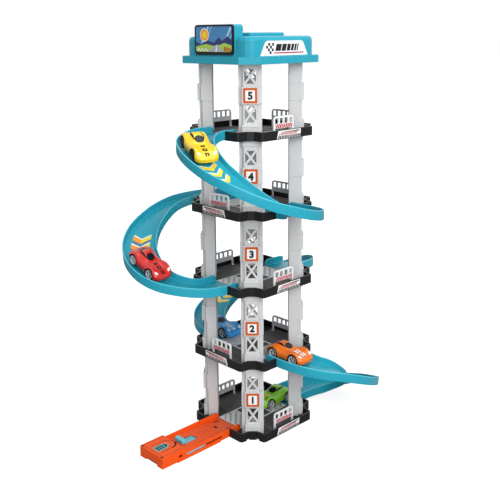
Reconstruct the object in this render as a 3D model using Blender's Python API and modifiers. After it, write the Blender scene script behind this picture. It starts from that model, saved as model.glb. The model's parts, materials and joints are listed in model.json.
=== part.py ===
"""Toy parking tower: five trays on corner columns, spiral ramps, a launcher and five cars.

Metres, +Z up. The origin is the middle of the underside of the lowest tray, on the ground.
The launcher points along -Y.
"""

import math

import bmesh
import bpy
from mathutils import Matrix, Vector

# Tower
FLOORS = 5
FLOOR_PITCH = 0.0905
FIT_GAP = 0.0003
CUT_BEYOND = 0.0020

# Mesh
WELD_DISTANCE = 1e-6
SCREW_WELD = 1e-5
FLAT_ANGLE = math.radians(0.2)
SMOOTH_ANGLE = 35.0
RAMP_SMOOTH_ANGLE = 28.0
WIRE_SMOOTH_ANGLE = 50.0
WHEEL_SMOOTH_ANGLE = 40.0
BEVEL_ANGLE = 40.0
ROOF_BEVEL_ANGLE = 60.0

# Tray
TRAY_HALF = 0.0615
RIM_HEIGHT = 0.0105
RIM_WALL = 0.0021
DECK_TOP = 0.0032
LOBE_RADIUS = 0.0040
LOBE_SETBACK = 0.0230
LOBE_OFFSET = TRAY_HALF - LOBE_SETBACK
VALLEY_DEPTH = 0.00668
VALLEY_REACH = (TRAY_HALF - LOBE_RADIUS + LOBE_OFFSET) / math.sqrt(2) + LOBE_RADIUS - VALLEY_DEPTH
LOBE_STEPS = 4
VALLEY_STEPS = 3
POCKET_NEAR = 0.0060
POCKET_FAR = 0.0300
POCKET_DEPTH = 0.0010
MOUTH_FLOOR = 0.0020
NOTCH_OFFSET = 0.0060
NOTCH_WIDTH = 0.0030
NOTCH_HEIGHT = 0.0018

# Column, in a corner's own plan axes: out from the tower's axis, and across
COLUMN_SETBACK = 0.0087
COLUMN_FRONT = VALLEY_REACH - COLUMN_SETBACK
COLUMN_DEPTH = 0.0118
COLUMN_BACK = COLUMN_FRONT - COLUMN_DEPTH
COLUMN_HALF = 0.0130
COLUMN_WALL = 0.0016
STRIP_HALF = 0.0080
STRIP_PROUD = 0.0039
BLOCK_LOW = 0.0405
BLOCK_HIGH = 0.0600
BLOCK_EXTRA = 0.0004
BLOCK_PROUD = 0.0022
PAD_HALF = 0.0093
FOOT_HIGH = 0.0176
FOOT_PROUD = 0.0020
COLLAR_HEIGHT = 0.0062
COLLAR_PROUD = 0.0008
WINDOW_HALF = 0.00625
WINDOW_LEVELS = ((0.0203, 0.0382), (0.0628, 0.0790))
LATTICE_BAR = 0.0024
TAB_WIDTH = 0.0120
TAB_DEPTH = 0.0050
TAB_LENGTH = 0.0018

# Track
TRACK_WIDTH = 0.0421
TRACK_WALL = 0.0016
TRACK_BED = 0.0013
TRACK_WALL_ABOVE = 0.0078
TRACK_SKIRT = 0.0020
TONGUE_LENGTH = 0.0185
TONGUE_ROUND = 0.0045
TONGUE_ROUND_STEPS = 4
TONGUE_SLOT_OFFSET = 0.0140
TONGUE_SLOT_LENGTH = 0.0080
TONGUE_SLOT_WIDTH = 0.0016
TONGUE_SLOT_INSET = 0.0040
RAMP_LEAD = 0.0013
RAMP_TIGHTENING = 0.0089
RAMP_TIGHT_RADIUS = TRAY_HALF - RAMP_TIGHTENING
RAMP_ARC_STEPS = 9
SEARCH_STEPS = 600
FALL_KNOTS = ((0.0, 0.0), (0.2, 0.097), (0.4, 0.376), (0.6, 0.696), (0.8, 0.915), (1.0, 1.0))
BANK_KNOTS = ((0.0, 0.0), (0.16, 0.0), (0.33, -3.0), (0.5, -4.2), (0.67, -1.8), (0.84, 0.0), (1.0, 0.0))

# Railing
RAIL_SETBACK = 0.0087
RAIL_PLANE = TRAY_HALF - RAIL_SETBACK
RAIL_HALF = 0.0165
RAIL_HEIGHT = 0.0217
RAIL_BAR = 0.0020
RAIL_THICKNESS = 0.0018
RAIL_FOOT = 0.0016
RAIL_CORNER = 0.0040
RAIL_CORNER_STEPS = 3
RAIL_PANEL_LOW = 0.0079
RAIL_PANEL_HIGH = 0.0133
RAIL_WINDOWS = 4

# Roof
BRIM_BEYOND = 0.0025
BRIM_HALF = TRAY_HALF + BRIM_BEYOND
BRIM_CHAMFER = 0.0170
BRIM_HEIGHT = 0.0082
BRIM_OVERLAP = 0.0062
BRIM_WALL = 0.0022
ROOF_SETBACK = 0.0095
ROOF_HALF = BRIM_HALF - ROOF_SETBACK
ROOF_CORNER = 0.0130
ROOF_CORNER_STEPS = 4
EDGE_STEPS = 2
ROOF_RISE = 0.0218
ROOF_EDGE = 0.0045
ROOF_SKIN = 0.0020
ROOF_WALL = 0.0035
ROOF_CAVITY_HALF = ROOF_HALF - ROOF_WALL
ROOF_CAVITY_CORNER = 0.0300
PLATE_HALF = 0.0280
PLATE_RISE = 0.0040
PLATE_EDGE = 0.0015
HOUSING_HALF = 0.0325
HOUSING_PROUD = 0.0013
HOUSING_FRONT = ROOF_HALF + HOUSING_PROUD
HOUSING_DEPTH = 0.0128
HOUSING_RISE = 0.0130
SCREEN_MARGIN = 0.0002
SCREEN_HEIGHT = 0.0330
SCREEN_THICKNESS = 0.0012
SCREEN_CORNER = 0.0040

# Launcher
LAUNCHER_HALF = 0.0208
LAUNCHER_REACH = 0.1635
LAUNCHER_WALL = 0.0016
LAUNCHER_SIDE_HEIGHT = 0.0103
HEAD_LENGTH = 0.0330
HEAD_HEIGHT = 0.0133
LANE_AT_HEAD = 0.0080
LANE_AT_BEND = 0.0072
LANE_BEND = 0.0740
LANE_AT_END = 0.0037
LANE_THICKNESS = 0.0012
SKIRT_PROUD = 0.0016
SKIRT_NEAR = 0.0770
SKIRT_FAR = 0.1425
SLIDER_TRAVEL = 0.0200
SLIDER_FAR = 0.1280
SLIDER_NEAR = 0.0970
SLIDER_LUG_NEAR = 0.1010
SLIDER_DROP = 0.0012
STEM_DEPTH = 0.0034
KNOB_HALF = 0.0070
KNOB_DEPTH = 0.0055
KNOB_TOP = 0.0140
KNOB_EDGE = 0.0009
KNOB_WINDOW_HALF = 0.0060
KNOB_WINDOW_FAR = 0.1226
KNOB_WINDOW_NEAR = KNOB_WINDOW_FAR - STEM_DEPTH - SLIDER_TRAVEL - 2 * FIT_GAP
SIDE_SLOT_NEAR = 0.0730
SIDE_SLOT_FAR = SLIDER_FAR + FIT_GAP
SIDE_SLOT_LOW = 0.0037
SIDE_SLOT_HIGH = 0.0058
END_ARCH_HALF = 0.0105
END_ARCH_HEIGHT = 0.0032
SIDE_HOLE_PLACE = 0.1372
SIDE_HOLE_LEVEL = 0.0057
SIDE_HOLE_LENGTH = 0.0052
SIDE_HOLE_HEIGHT = 0.0030
PIN_HOLE_PLACE = 0.0654
PIN_HOLE_SIZE = 0.0036
LANE_SLOT_OFFSET = 0.0115
LANE_SLOT_NEAR = 0.0500
LANE_SLOT_FAR = 0.0570
LANE_SLOT_WIDTH = 0.0015
SPRING_RADIUS = 0.0019
SPRING_WIRE = 0.0004
SPRING_TURNS = 6
SPRING_TURN_STEPS = 8
SPRING_LEVEL = 0.0036

# Car
CAR_HALF_LENGTH = 0.0290
CAR_HALF_WIDTH = 0.0138
CAR_UNDERSIDE = 0.0026
CAR_HEIGHT = 0.0192
CAR_GROUND_GAP = 0.0004
CAR_DECK_RATIO = 0.78
CAR_HAUNCH = 0.0010
BUMPER_TUCK = 0.0030
BUMPER_RISE = 0.0022
HOOD_FRONT_BACK = 0.0025
HOOD_FRONT_DROP = 0.0062
HOOD_MIDDLE_BACK = 0.0080
HOOD_MIDDLE_DROP = 0.0016
HOOD_REAR = 0.0150
TAIL_LENGTH = 0.0080
TAIL_DROP = 0.0024
# Half plan of a car from nose to tail: shares of its half length and of its half width
CAR_PLAN_SHARES = (
    (1.0, 0.55),
    (0.9, 0.82),
    (0.69, 1.0),
    (0.0, 0.94),
    (-0.72, 1.0),
    (-0.93, 0.86),
    (-1.0, 0.62),
)
CABIN_HALF_WIDTH = 0.0098
CABIN_ROOF_RATIO = 0.82
CABIN_SINK = 0.0020
CABIN_FRONT = 0.0120
CABIN_BACK = 0.0170
CABIN_ROOF_FRONT = 0.0030
CABIN_ROOF_BACK = 0.0090
WHEELBASE = 0.0305
WHEEL_RADIUS = 0.0066
WHEEL_WIDTH = 0.0050
WHEEL_OUTER = 0.0136
WHEEL_SIDES = 12
WHEEL_WELL_GAP = 0.0007
AXLE_RADIUS = 0.0008
AXLE_BORE_GAP = 0.0004
AXLE_BORE_SIDES = 8

FACES = {"front": -90.0, "right": 0.0, "rear": 90.0, "left": 180.0}
CORNERS = {"front": -45.0, "right": 45.0, "rear": 135.0, "left": 225.0}
RAMP_TURNS = (0.0, -90.0, -180.0, -270.0)
MOUTHS = {5: ("front",), 4: ("right", "left"), 3: ("front", "rear"), 2: ("left", "right"), 1: ("rear", "front")}
WHITE_RAILS = {5: ("right",), 4: ("front",), 3: ("right",), 2: ("front",), 1: ("right",)}
GREY_RAILS = {5: ("left", "rear"), 4: ("rear",), 3: ("left",), 2: ("rear",), 1: ("left",)}
# Each car: its name, the ramp that it is on, counted from the top, the place of its middle
# along the track as a share of the ramp's run and a distance past that, how far it stands
# towards the track's outer side, how many degrees its nose turns to the inner side, and its colour
CARS = (
    ("yellow", 0, 0.2326, 0.0, 0.0015, 5.0, (0.93, 0.72, 0.02)),
    ("red", 1, 0.6604, 0.0, 0.0005, 8.0, (0.80, 0.05, 0.03)),
    ("blue", 2, 1.0, 0.0035, 0.0, 0.0, (0.03, 0.42, 0.80)),
    ("orange", 3, 0.0, 0.0, 0.0, 0.0, (0.92, 0.28, 0.03)),
    ("green", 3, 1.0, 0.0270, 0.0, 0.0, (0.22, 0.72, 0.03)),
)

BLACK = ("tray_black", (0.018, 0.018, 0.020), 0.32, 0.0)
PALE_GREY = ("column_grey", (0.62, 0.63, 0.65), 0.38, 0.0)
TEAL = ("track_teal", (0.035, 0.42, 0.53), 0.28, 0.0)
WHITE = ("rail_white", (0.86, 0.87, 0.88), 0.35, 0.0)
RAIL_GREY = ("rail_grey", (0.56, 0.57, 0.59), 0.35, 0.0)
ORANGE = ("launcher_orange", (0.86, 0.13, 0.02), 0.35, 0.0)
SLIDER_BLUE = ("slider_blue", (0.10, 0.55, 0.68), 0.35, 0.0)
STEEL = ("spring_steel", (0.60, 0.60, 0.62), 0.30, 1.0)
SCREEN = ("screen_dark", (0.02, 0.03, 0.06), 0.25, 0.0)
TYRE = ("wheel_black", (0.02, 0.02, 0.02), 0.55, 0.0)
PAINT_ROUGHNESS = 0.22
PAINT_METALLIC = 0.1


def start_scene():
    """Empty the scene and make the two collections that the model uses."""
    for old in list(bpy.data.objects):
        bpy.data.objects.remove(old, do_unlink=True)
    collections = []
    for name in ("Parking tower", "Cutters"):
        collection = bpy.data.collections.new(name)
        bpy.context.scene.collection.children.link(collection)
        collections.append(collection)
    return collections


PARTS, CUTTERS = start_scene()


def make_material(finish):
    """A Principled material from a (name, colour, roughness, metallic) finish."""
    name, colour, roughness, metallic = finish
    material = bpy.data.materials.get(name)
    if material is None:
        material = bpy.data.materials.new(name)
        material.use_nodes = True
        shader = material.node_tree.nodes["Principled BSDF"]
        shader.inputs["Base Color"].default_value = (*colour, 1.0)
        shader.inputs["Roughness"].default_value = roughness
        shader.inputs["Metallic"].default_value = metallic
        material.diffuse_color = (*colour, 1.0)
    return material


def evaluated_mesh(source):
    """A mesh of an object as its modifiers leave it, welded, with flat areas made single faces."""
    bpy.context.view_layer.update()
    graph = bpy.context.evaluated_depsgraph_get()
    mesh = bpy.data.meshes.new_from_object(source.evaluated_get(graph))
    shape = bmesh.new()
    shape.from_mesh(mesh)
    bmesh.ops.remove_doubles(shape, verts=shape.verts, dist=WELD_DISTANCE)
    bmesh.ops.dissolve_limit(
        shape, angle_limit=FLAT_ANGLE, verts=shape.verts, edges=shape.edges, use_dissolve_boundaries=False
    )
    bmesh.ops.recalc_face_normals(shape, faces=shape.faces)
    shape.to_mesh(mesh)
    shape.free()
    return mesh


def mesh_object(name, mesh, collection=PARTS):
    """An object that shows a mesh, linked to a collection."""
    result = bpy.data.objects.new(name, mesh)
    collection.objects.link(result)
    if collection is CUTTERS:
        result.hide_render = True
        result.display_type = "WIRE"
    return result


def baked(source):
    """The object again with its modifiers and its place made part of its mesh; its cutters go."""
    cutters = [modifier.object for modifier in source.modifiers if modifier.type == "BOOLEAN"]
    name = source.name
    mesh = evaluated_mesh(source)
    mesh.transform(source.matrix_world)
    collection = CUTTERS if source.name in CUTTERS.objects else PARTS
    bpy.data.objects.remove(source, do_unlink=True)
    for cutter in cutters:
        bpy.data.objects.remove(cutter, do_unlink=True)
    return mesh_object(name, mesh, collection)


def boolean(body, tools, operation="DIFFERENCE"):
    """Cut a body with each tool, or join it to each one, with modifiers that stay on it."""
    for tool in tools:
        modifier = body.modifiers.new(operation.title(), "BOOLEAN")
        modifier.operation = operation
        modifier.solver = "EXACT"
        modifier.object = tool


def finished(part, finish, smooth_angle=None):
    """Give a part its material and, on a round one, its smooth shading."""
    part.data.materials.clear()
    part.data.materials.append(make_material(finish))
    if smooth_angle is not None:
        part.data.shade_smooth()
        part.data.set_sharp_from_angle(angle=math.radians(smooth_angle))
    return part


def copies(source_mesh, placements, finish, smooth_angle=None):
    """One object for each (name, matrix) placement, all showing the same mesh."""
    result = []
    for name, matrix in placements:
        part = mesh_object(name, source_mesh)
        part.matrix_world = matrix
        result.append(part)
    finished(result[0], finish, smooth_angle)
    return result


def arc(centre, radius, start, end, steps):
    """Points on an arc, from the start angle to the end angle in degrees."""
    points = []
    for step in range(steps + 1):
        angle = math.radians(start + (end - start) * step / steps)
        points.append((centre[0] + radius * math.cos(angle), centre[1] + radius * math.sin(angle)))
    return points


def rounded_rectangle(half_x, low, high, radius, steps, round_low=True):
    """Outline of a rectangle about x = 0 with round corners, the lower ones only if asked."""
    points = []
    for side, height, start in ((1, low, -90.0), (1, high, 0.0), (-1, high, 90.0), (-1, low, 180.0)):
        if height == low and not round_low:
            points.append((side * half_x, low))
            continue
        inset = radius if height == low else -radius
        centre = (side * (half_x - radius), height + inset)
        points += arc(centre, radius, start, start + 90.0, steps)
    return points


TURN_TO = {
    "X": Matrix(((0, 0, 1, 0), (1, 0, 0, 0), (0, 1, 0, 0), (0, 0, 0, 1))),
    "Y": Matrix(((1, 0, 0, 0), (0, 0, -1, 0), (0, 1, 0, 0), (0, 0, 0, 1))),
    "Z": Matrix.Identity(4),
}


def prism(name, outlines, low, high, axis="Z", collection=CUTTERS):
    """Flat outline, the first the edge and the rest its holes, made thick along an axis.

    The outline is in X and Y for the axis Z, in Y and Z for X, and in X and Z for Y.
    """
    curve = bpy.data.curves.new(name, "CURVE")
    curve.dimensions = "2D"
    curve.fill_mode = "BOTH"
    curve.extrude = (high - low) / 2
    for outline in outlines:
        spline = curve.splines.new("POLY")
        spline.points.add(len(outline) - 1)
        for point, (first, second) in zip(spline.points, outline):
            point.co = (first, second, 0.0, 1.0)
        spline.use_cyclic_u = True
    flat = bpy.data.objects.new(name, curve)
    bpy.context.scene.collection.objects.link(flat)
    middle = (low + high) / 2
    centred = Matrix.Translation((0.0, 0.0, -middle if axis == "Y" else middle))
    mesh = evaluated_mesh(flat)
    mesh.transform(TURN_TO[axis] @ centred)
    bpy.data.objects.remove(flat, do_unlink=True)
    return mesh_object(name, mesh, collection)


def box(name, low, high, collection=CUTTERS):
    """A cuboid between two opposite corners."""
    size = Vector(high) - Vector(low)
    shape = bmesh.new()
    bmesh.ops.create_cube(shape, size=1.0)
    bmesh.ops.scale(shape, vec=size, verts=shape.verts)
    bmesh.ops.translate(shape, vec=Vector(low) + size / 2, verts=shape.verts)
    mesh = bpy.data.meshes.new(name)
    shape.to_mesh(mesh)
    shape.free()
    return mesh_object(name, mesh, collection)


def merged(name, pieces, collection=CUTTERS):
    """One object from several that lie clear of one another; the pieces go."""
    shape = bmesh.new()
    for piece in pieces:
        piece.data.transform(piece.matrix_world)
        shape.from_mesh(piece.data)
        bpy.data.objects.remove(piece, do_unlink=True)
    mesh = bpy.data.meshes.new(name)
    shape.to_mesh(mesh)
    shape.free()
    return mesh_object(name, mesh, collection)


def bevelled(source, width, segments, angle=BEVEL_ANGLE):
    """Round an object's edges that are sharper than an angle, and bake the result."""
    modifier = source.modifiers.new("Bevel", "BEVEL")
    modifier.width = width
    modifier.segments = segments
    modifier.limit_method = "ANGLE"
    modifier.angle_limit = math.radians(angle)
    return baked(source)


def turned(angle):
    """Rotation about the tower's axis, in degrees."""
    return Matrix.Rotation(math.radians(angle), 4, "Z")


def floor_level(floor):
    """Height of the underside of a floor's tray; the lowest floor is 1."""
    return (floor - 1) * FLOOR_PITCH


def placed(floor, angle):
    """Matrix of a part made at +X on the ground, turned to an angle and raised to a floor."""
    return Matrix.Translation((0.0, 0.0, floor_level(floor))) @ turned(angle)


def tray_outline(inset):
    """Tray's outline, moved inwards: at each corner two lobes with a valley between them."""
    lobe = Vector((TRAY_HALF - LOBE_RADIUS, LOBE_OFFSET))
    lobe_out = (lobe.x + lobe.y) / math.sqrt(2)
    lobe_across = (lobe.x - lobe.y) / math.sqrt(2)
    reach = VALLEY_REACH - LOBE_RADIUS
    valley_out = (lobe_out**2 + lobe_across**2 - reach**2) / (2 * (lobe_out - reach))
    valley_radius = valley_out - VALLEY_REACH
    valley = Vector((valley_out, valley_out)) / math.sqrt(2)
    tangent = math.degrees(math.atan2(valley.y - lobe.y, valley.x - lobe.x))
    corner = arc(lobe, LOBE_RADIUS - inset, 0.0, tangent, LOBE_STEPS)
    corner += arc(valley, valley_radius + inset, tangent + 180.0, 270.0 - tangent, VALLEY_STEPS)[1:-1]
    corner += arc((lobe.y, lobe.x), LOBE_RADIUS - inset, 90.0 - tangent, 90.0, LOBE_STEPS)
    points = []
    for quarter in range(4):
        turn = turned(90.0 * quarter)
        points += [(turn @ Vector((x, y, 0.0))).xy[:] for x, y in corner]
    return points


def tray_mesh(floor):
    """Tray with its rim, its recesses for track tongues and its holes for column tabs."""
    tray = prism("tray", [tray_outline(0.0)], 0.0, RIM_HEIGHT, collection=PARTS)
    well = prism("well", [tray_outline(RIM_WALL)], DECK_TOP, 2 * RIM_HEIGHT)
    pockets = []
    for side_x in (-1, 1):
        for side_y in (-1, 1):
            ends_x = sorted((side_x * POCKET_NEAR, side_x * POCKET_FAR))
            ends_y = sorted((side_y * POCKET_NEAR, side_y * POCKET_FAR))
            low = (ends_x[0], ends_y[0], -POCKET_DEPTH)
            pockets.append(box("pocket", low, (ends_x[1], ends_y[1], POCKET_DEPTH)))
    holes = []
    for angle in CORNERS.values():
        middle = (COLUMN_BACK + COLUMN_FRONT) / 2
        half_out = TAB_DEPTH / 2 + FIT_GAP
        half_across = TAB_WIDTH / 2 + FIT_GAP
        low = (middle - half_out, -half_across, -DECK_TOP)
        hole = box("hole", low, (middle + half_out, half_across, 2 * DECK_TOP))
        hole.matrix_world = turned(angle)
        holes.append(hole)
    mouths = []
    for face in MOUTHS[floor]:
        low = (TRAY_HALF - TONGUE_LENGTH - FIT_GAP, -TRACK_WIDTH / 2 - FIT_GAP, MOUTH_FLOOR)
        mouth = box("mouth", low, (2 * TRAY_HALF, TRACK_WIDTH / 2 + FIT_GAP, 2 * RIM_HEIGHT))
        mouth.matrix_world = turned(FACES[face])
        mouths.append(mouth)
    bpy.context.view_layer.update()
    tools = [well, merged("pockets", pockets), merged("holes", holes), merged("mouths", mouths)]
    if floor == 1:
        tools.append(corner_notches())
    boolean(tray, tools)
    return baked(tray)


def corner_notches():
    """Cutter for the small notches under the lowest tray's corner walls."""
    notches = []
    for angle in CORNERS.values():
        for side in (-1, 1):
            across = side * NOTCH_OFFSET
            low = (VALLEY_REACH - 2 * RIM_WALL, across - NOTCH_WIDTH / 2, -NOTCH_HEIGHT)
            notch = box("notch", low, (VALLEY_REACH + 2 * RIM_WALL, across + NOTCH_WIDTH / 2, NOTCH_HEIGHT))
            notch.matrix_world = turned(angle)
            notches.append(notch)
    bpy.context.view_layer.update()
    return merged("notches", notches)


def tee_outline(back, front, half, strip_front, strip_half):
    """Plan of a column: a rectangle with a narrower strip standing proud of its front."""
    return [
        (back, -half),
        (front, -half),
        (front, -strip_half),
        (strip_front, -strip_half),
        (strip_front, strip_half),
        (front, strip_half),
        (front, half),
        (back, half),
    ]


def lattice_openings(low, high):
    """Four triangles between the crossed bars of one window, across and up."""
    half = WINDOW_HALF
    middle = (low + high) / 2
    slope = math.atan2(high - low, 2 * half)
    along = LATTICE_BAR / 2 / math.sin(slope)
    upward = LATTICE_BAR / 2 / math.cos(slope)
    return [
        [(-half + along, low), (half - along, low), (0.0, middle - upward)],
        [(half - along, high), (-half + along, high), (0.0, middle + upward)],
        [(half, low + upward), (half, high - upward), (along, middle)],
        [(-half, high - upward), (-half, low + upward), (-along, middle)],
    ]


def column_mesh():
    """Column: an open-backed channel with a plate block, a foot, a collar and crossed windows."""
    bottom = DECK_TOP + FIT_GAP
    top = FLOOR_PITCH - FIT_GAP
    strip = COLUMN_FRONT + STRIP_PROUD
    plan = tee_outline(COLUMN_BACK, COLUMN_FRONT, COLUMN_HALF, strip, STRIP_HALF)
    column = prism("column", [plan], bottom, top, collection=PARTS)
    wide = COLUMN_HALF + BLOCK_EXTRA
    block_face = COLUMN_FRONT + STRIP_PROUD / 3
    block_plan = tee_outline(COLUMN_BACK, block_face, wide, strip + BLOCK_PROUD, PAD_HALF)
    block = prism("block", [block_plan], BLOCK_LOW, BLOCK_HIGH)
    foot_low = (COLUMN_FRONT - COLUMN_WALL, -PAD_HALF, bottom)
    foot = box("foot", foot_low, (strip + FOOT_PROUD, PAD_HALF, FOOT_HIGH))
    collar_low = (COLUMN_FRONT - COLUMN_WALL, -PAD_HALF, top - COLLAR_HEIGHT)
    collar = box("collar", collar_low, (strip + COLLAR_PROUD, PAD_HALF, top))
    tab_middle = (COLUMN_BACK + COLUMN_FRONT) / 2
    tab_low = (tab_middle - TAB_DEPTH / 2, -TAB_WIDTH / 2, bottom - TAB_LENGTH)
    tab = box("tab", tab_low, (tab_middle + TAB_DEPTH / 2, TAB_WIDTH / 2, bottom + COLUMN_WALL / 2))
    boolean(column, [block, foot, collar, tab], "UNION")
    hollow_plan = tee_outline(
        COLUMN_BACK - COLUMN_WALL,
        COLUMN_FRONT - COLUMN_WALL,
        COLUMN_HALF - COLUMN_WALL,
        strip - COLUMN_WALL,
        STRIP_HALF - COLUMN_WALL,
    )
    hollow = prism("hollow", [hollow_plan], bottom + COLUMN_WALL, top - COLUMN_WALL)
    windows = []
    for low, high in WINDOW_LEVELS:
        for outline in lattice_openings(low, high):
            reach = (strip - 2 * COLUMN_WALL, strip + COLUMN_WALL)
            windows.append(prism("window", [outline], *reach, axis="X"))
    boolean(column, [hollow, merged("windows", windows)])
    return baked(column)


def smooth_value(knots, at):
    """Value on a smooth curve through (place, value) knots, level at both ends."""
    slopes = [0.0]
    for before, here, after in zip(knots, knots[1:], knots[2:]):
        left = (here[1] - before[1]) / (here[0] - before[0])
        right = (after[1] - here[1]) / (after[0] - here[0])
        slopes.append(2 * left * right / (left + right) if left * right > 0 else 0.0)
    slopes.append(0.0)
    at = min(max(at, knots[0][0]), knots[-1][0])
    for index, (start, end) in enumerate(zip(knots, knots[1:])):
        if at <= end[0]:
            break
    span = end[0] - start[0]
    part = (at - start[0]) / span
    rise = part * part * (3 - 2 * part)
    lean = span * part * (1 - part)
    bend = lean * ((1 - part) * slopes[index] - part * slopes[index + 1])
    return start[1] + (end[1] - start[1]) * rise + bend


RAMP_WIDE_RADIUS = TRAY_HALF + RAMP_LEAD
QUARTER = math.pi / 2
RAMP_STRETCHES = (
    (RAMP_LEAD, 0.0),
    (QUARTER * RAMP_TIGHT_RADIUS, 1 / RAMP_TIGHT_RADIUS),
    (QUARTER * RAMP_WIDE_RADIUS, 1 / RAMP_WIDE_RADIUS),
    (QUARTER * RAMP_TIGHT_RADIUS, 1 / RAMP_TIGHT_RADIUS),
    (RAMP_LEAD, 0.0),
)
RAMP_RUN = sum(length for length, _ in RAMP_STRETCHES)
BED_LOW = MOUTH_FLOOR + FIT_GAP
BED_TOP = BED_LOW + TRACK_BED


def track_point(distance):
    """Plan position and heading on a ramp's centre line, at a distance from the upper tray's face.

    Short of the face and past the far one, the line runs straight on over the trays.
    """
    place = Vector((0.0, -TRAY_HALF))
    heading = -QUARTER
    if distance < 0.0:
        return place + distance * Vector((math.cos(heading), math.sin(heading))), heading
    left = distance
    for length, bend in RAMP_STRETCHES:
        step = min(left, length)
        if bend:
            after = heading + bend * step
            place.x += (math.sin(after) - math.sin(heading)) / bend
            place.y += (math.cos(heading) - math.cos(after)) / bend
            heading = after
        else:
            place += step * Vector((math.cos(heading), math.sin(heading)))
        left -= step
    return place + left * Vector((math.cos(heading), math.sin(heading))), heading


def track_section(distance):
    """Drop below the upper tray and bank, in metres and radians, at a distance along a ramp."""
    share = distance / RAMP_RUN
    return FLOOR_PITCH * smooth_value(FALL_KNOTS, share), math.radians(smooth_value(BANK_KNOTS, share))


def ramp_distances():
    """Distances of the sections that a ramp is built from."""
    result = [-TONGUE_LENGTH, 0.0]
    start = 0.0
    for length, bend in RAMP_STRETCHES:
        steps = RAMP_ARC_STEPS if bend else 1
        result += [start + length * (step + 1) / steps for step in range(steps)]
        start += length
    return result + [RAMP_RUN + TONGUE_LENGTH]


def track_profile():
    """Section of a track: two side walls with the bed between them."""
    outer = TRACK_WIDTH / 2
    inner = outer - TRACK_WALL
    foot = BED_LOW - TRACK_SKIRT
    top = BED_TOP + TRACK_WALL_ABOVE
    return [
        (-outer, foot),
        (-inner, foot),
        (-inner, BED_LOW),
        (inner, BED_LOW),
        (inner, foot),
        (outer, foot),
        (outer, top),
        (inner, top),
        (inner, BED_TOP),
        (-inner, BED_TOP),
        (-inner, top),
        (-outer, top),
    ]


def track_sweep():
    """Track's section swept along the plan of a ramp, then lowered and banked section by section."""
    profile = bpy.data.curves.new("profile", "CURVE")
    profile.dimensions = "2D"
    outline = track_profile()
    spline = profile.splines.new("POLY")
    spline.points.add(len(outline) - 1)
    for point, (across, up) in zip(spline.points, outline):
        point.co = (across, up, 0.0, 1.0)
    spline.use_cyclic_u = True
    section = bpy.data.objects.new("profile", profile)
    path = bpy.data.curves.new("path", "CURVE")
    path.dimensions = "3D"
    path.twist_mode = "Z_UP"
    path.bevel_mode = "OBJECT"
    path.bevel_object = section
    path.use_fill_caps = True
    distances = ramp_distances()
    line = path.splines.new("POLY")
    line.points.add(len(distances) - 1)
    for point, distance in zip(line.points, distances):
        place, _ = track_point(distance)
        point.co = (place.x, place.y, 0.0, 1.0)
    sweep = bpy.data.objects.new("path", path)
    for guide in (section, sweep):
        bpy.context.scene.collection.objects.link(guide)
    bpy.context.view_layer.update()
    mesh = bpy.data.meshes.new_from_object(sweep.evaluated_get(bpy.context.evaluated_depsgraph_get()))
    for guide in (section, sweep):
        bpy.data.objects.remove(guide, do_unlink=True)
    centres = [track_point(distance)[0] for distance in distances]
    chords = [(after - before).normalized() for before, after in zip(centres, centres[1:])]
    ways = [chords[0]] + [(before + after).normalized() for before, after in zip(chords, chords[1:])]
    ways.append(chords[-1])
    for vertex in mesh.vertices:
        gaps = [section_gap(vertex.co.xy - place, way) for place, way in zip(centres, ways)]
        nearest = gaps.index(min(gaps))
        offset = vertex.co.xy - centres[nearest]
        _, heading = track_point(distances[nearest])
        drop, bank = track_section(distances[nearest])
        outward = Vector((math.sin(heading), -math.cos(heading)))
        across = math.copysign(offset.length, offset.dot(outward))
        plan = centres[nearest] + outward * (across * math.cos(bank) - vertex.co.z * math.sin(bank))
        height = across * math.sin(bank) + vertex.co.z * math.cos(bank) - drop
        vertex.co = (plan.x, plan.y, height)
    return mesh


def section_gap(offset, way):
    """How far a swept corner lies from a section's upright plane, or from its middle if far off."""
    return abs(offset.dot(way)) if offset.length < TRACK_WIDTH else offset.length


def rounding_cutter(centre_along, top, radius):
    """Cutter that leaves a quarter round at a wall's top end; it lies along X, facing -Y."""
    quarter = arc((centre_along, top - radius), radius, 90.0, 180.0, TONGUE_ROUND_STEPS)
    outside = [(centre_along - 2 * radius, top - radius), (centre_along - 2 * radius, top + radius)]
    outside.append((centre_along, top + radius))
    return quarter + outside


def tongue_cutters(flip):
    """Cutters for a tongue on the front face: the undercut, the wall ends and the small slot.

    flip is 1 where the ramp's inner side is at +X, and -1 where it is at -X.
    """
    half = TRACK_WIDTH / 2
    end = -(TRAY_HALF - TONGUE_LENGTH)
    wide = half + CUT_BEYOND
    under_low = (-wide, -TRAY_HALF - FIT_GAP, -TRACK_SKIRT * 2)
    under = box("under", under_low, (wide, end + CUT_BEYOND, BED_LOW))
    top = BED_TOP + TRACK_WALL_ABOVE
    quarter = [(-along, up) for along, up in rounding_cutter(-end + TONGUE_ROUND, top, TONGUE_ROUND)]
    round_off = prism("round", [quarter[::-1]], -wide, wide, axis="X")
    slot_near = end - TONGUE_SLOT_INSET
    slot_ends = sorted((flip * TONGUE_SLOT_OFFSET, flip * (TONGUE_SLOT_OFFSET + TONGUE_SLOT_WIDTH)))
    slot_low = (slot_ends[0], slot_near - TONGUE_SLOT_LENGTH, BED_LOW / 2)
    slot = box("slot", slot_low, (slot_ends[1], slot_near, BED_TOP + TRACK_BED))
    return [under, round_off, slot]


def ramp_mesh():
    """Ramp from the front face of one tray down to the right face of the tray below."""
    ramp = baked(mesh_object("ramp", track_sweep()))
    near = tongue_cutters(1)
    far = tongue_cutters(-1)
    for tool in far:
        tool.matrix_world = Matrix.Translation((0.0, 0.0, -FLOOR_PITCH)) @ turned(90.0)
    bpy.context.view_layer.update()
    tools = [merged("tongue ends", [first, second]) for first, second in zip(near, far)]
    boolean(ramp, tools)
    return baked(ramp)


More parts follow.
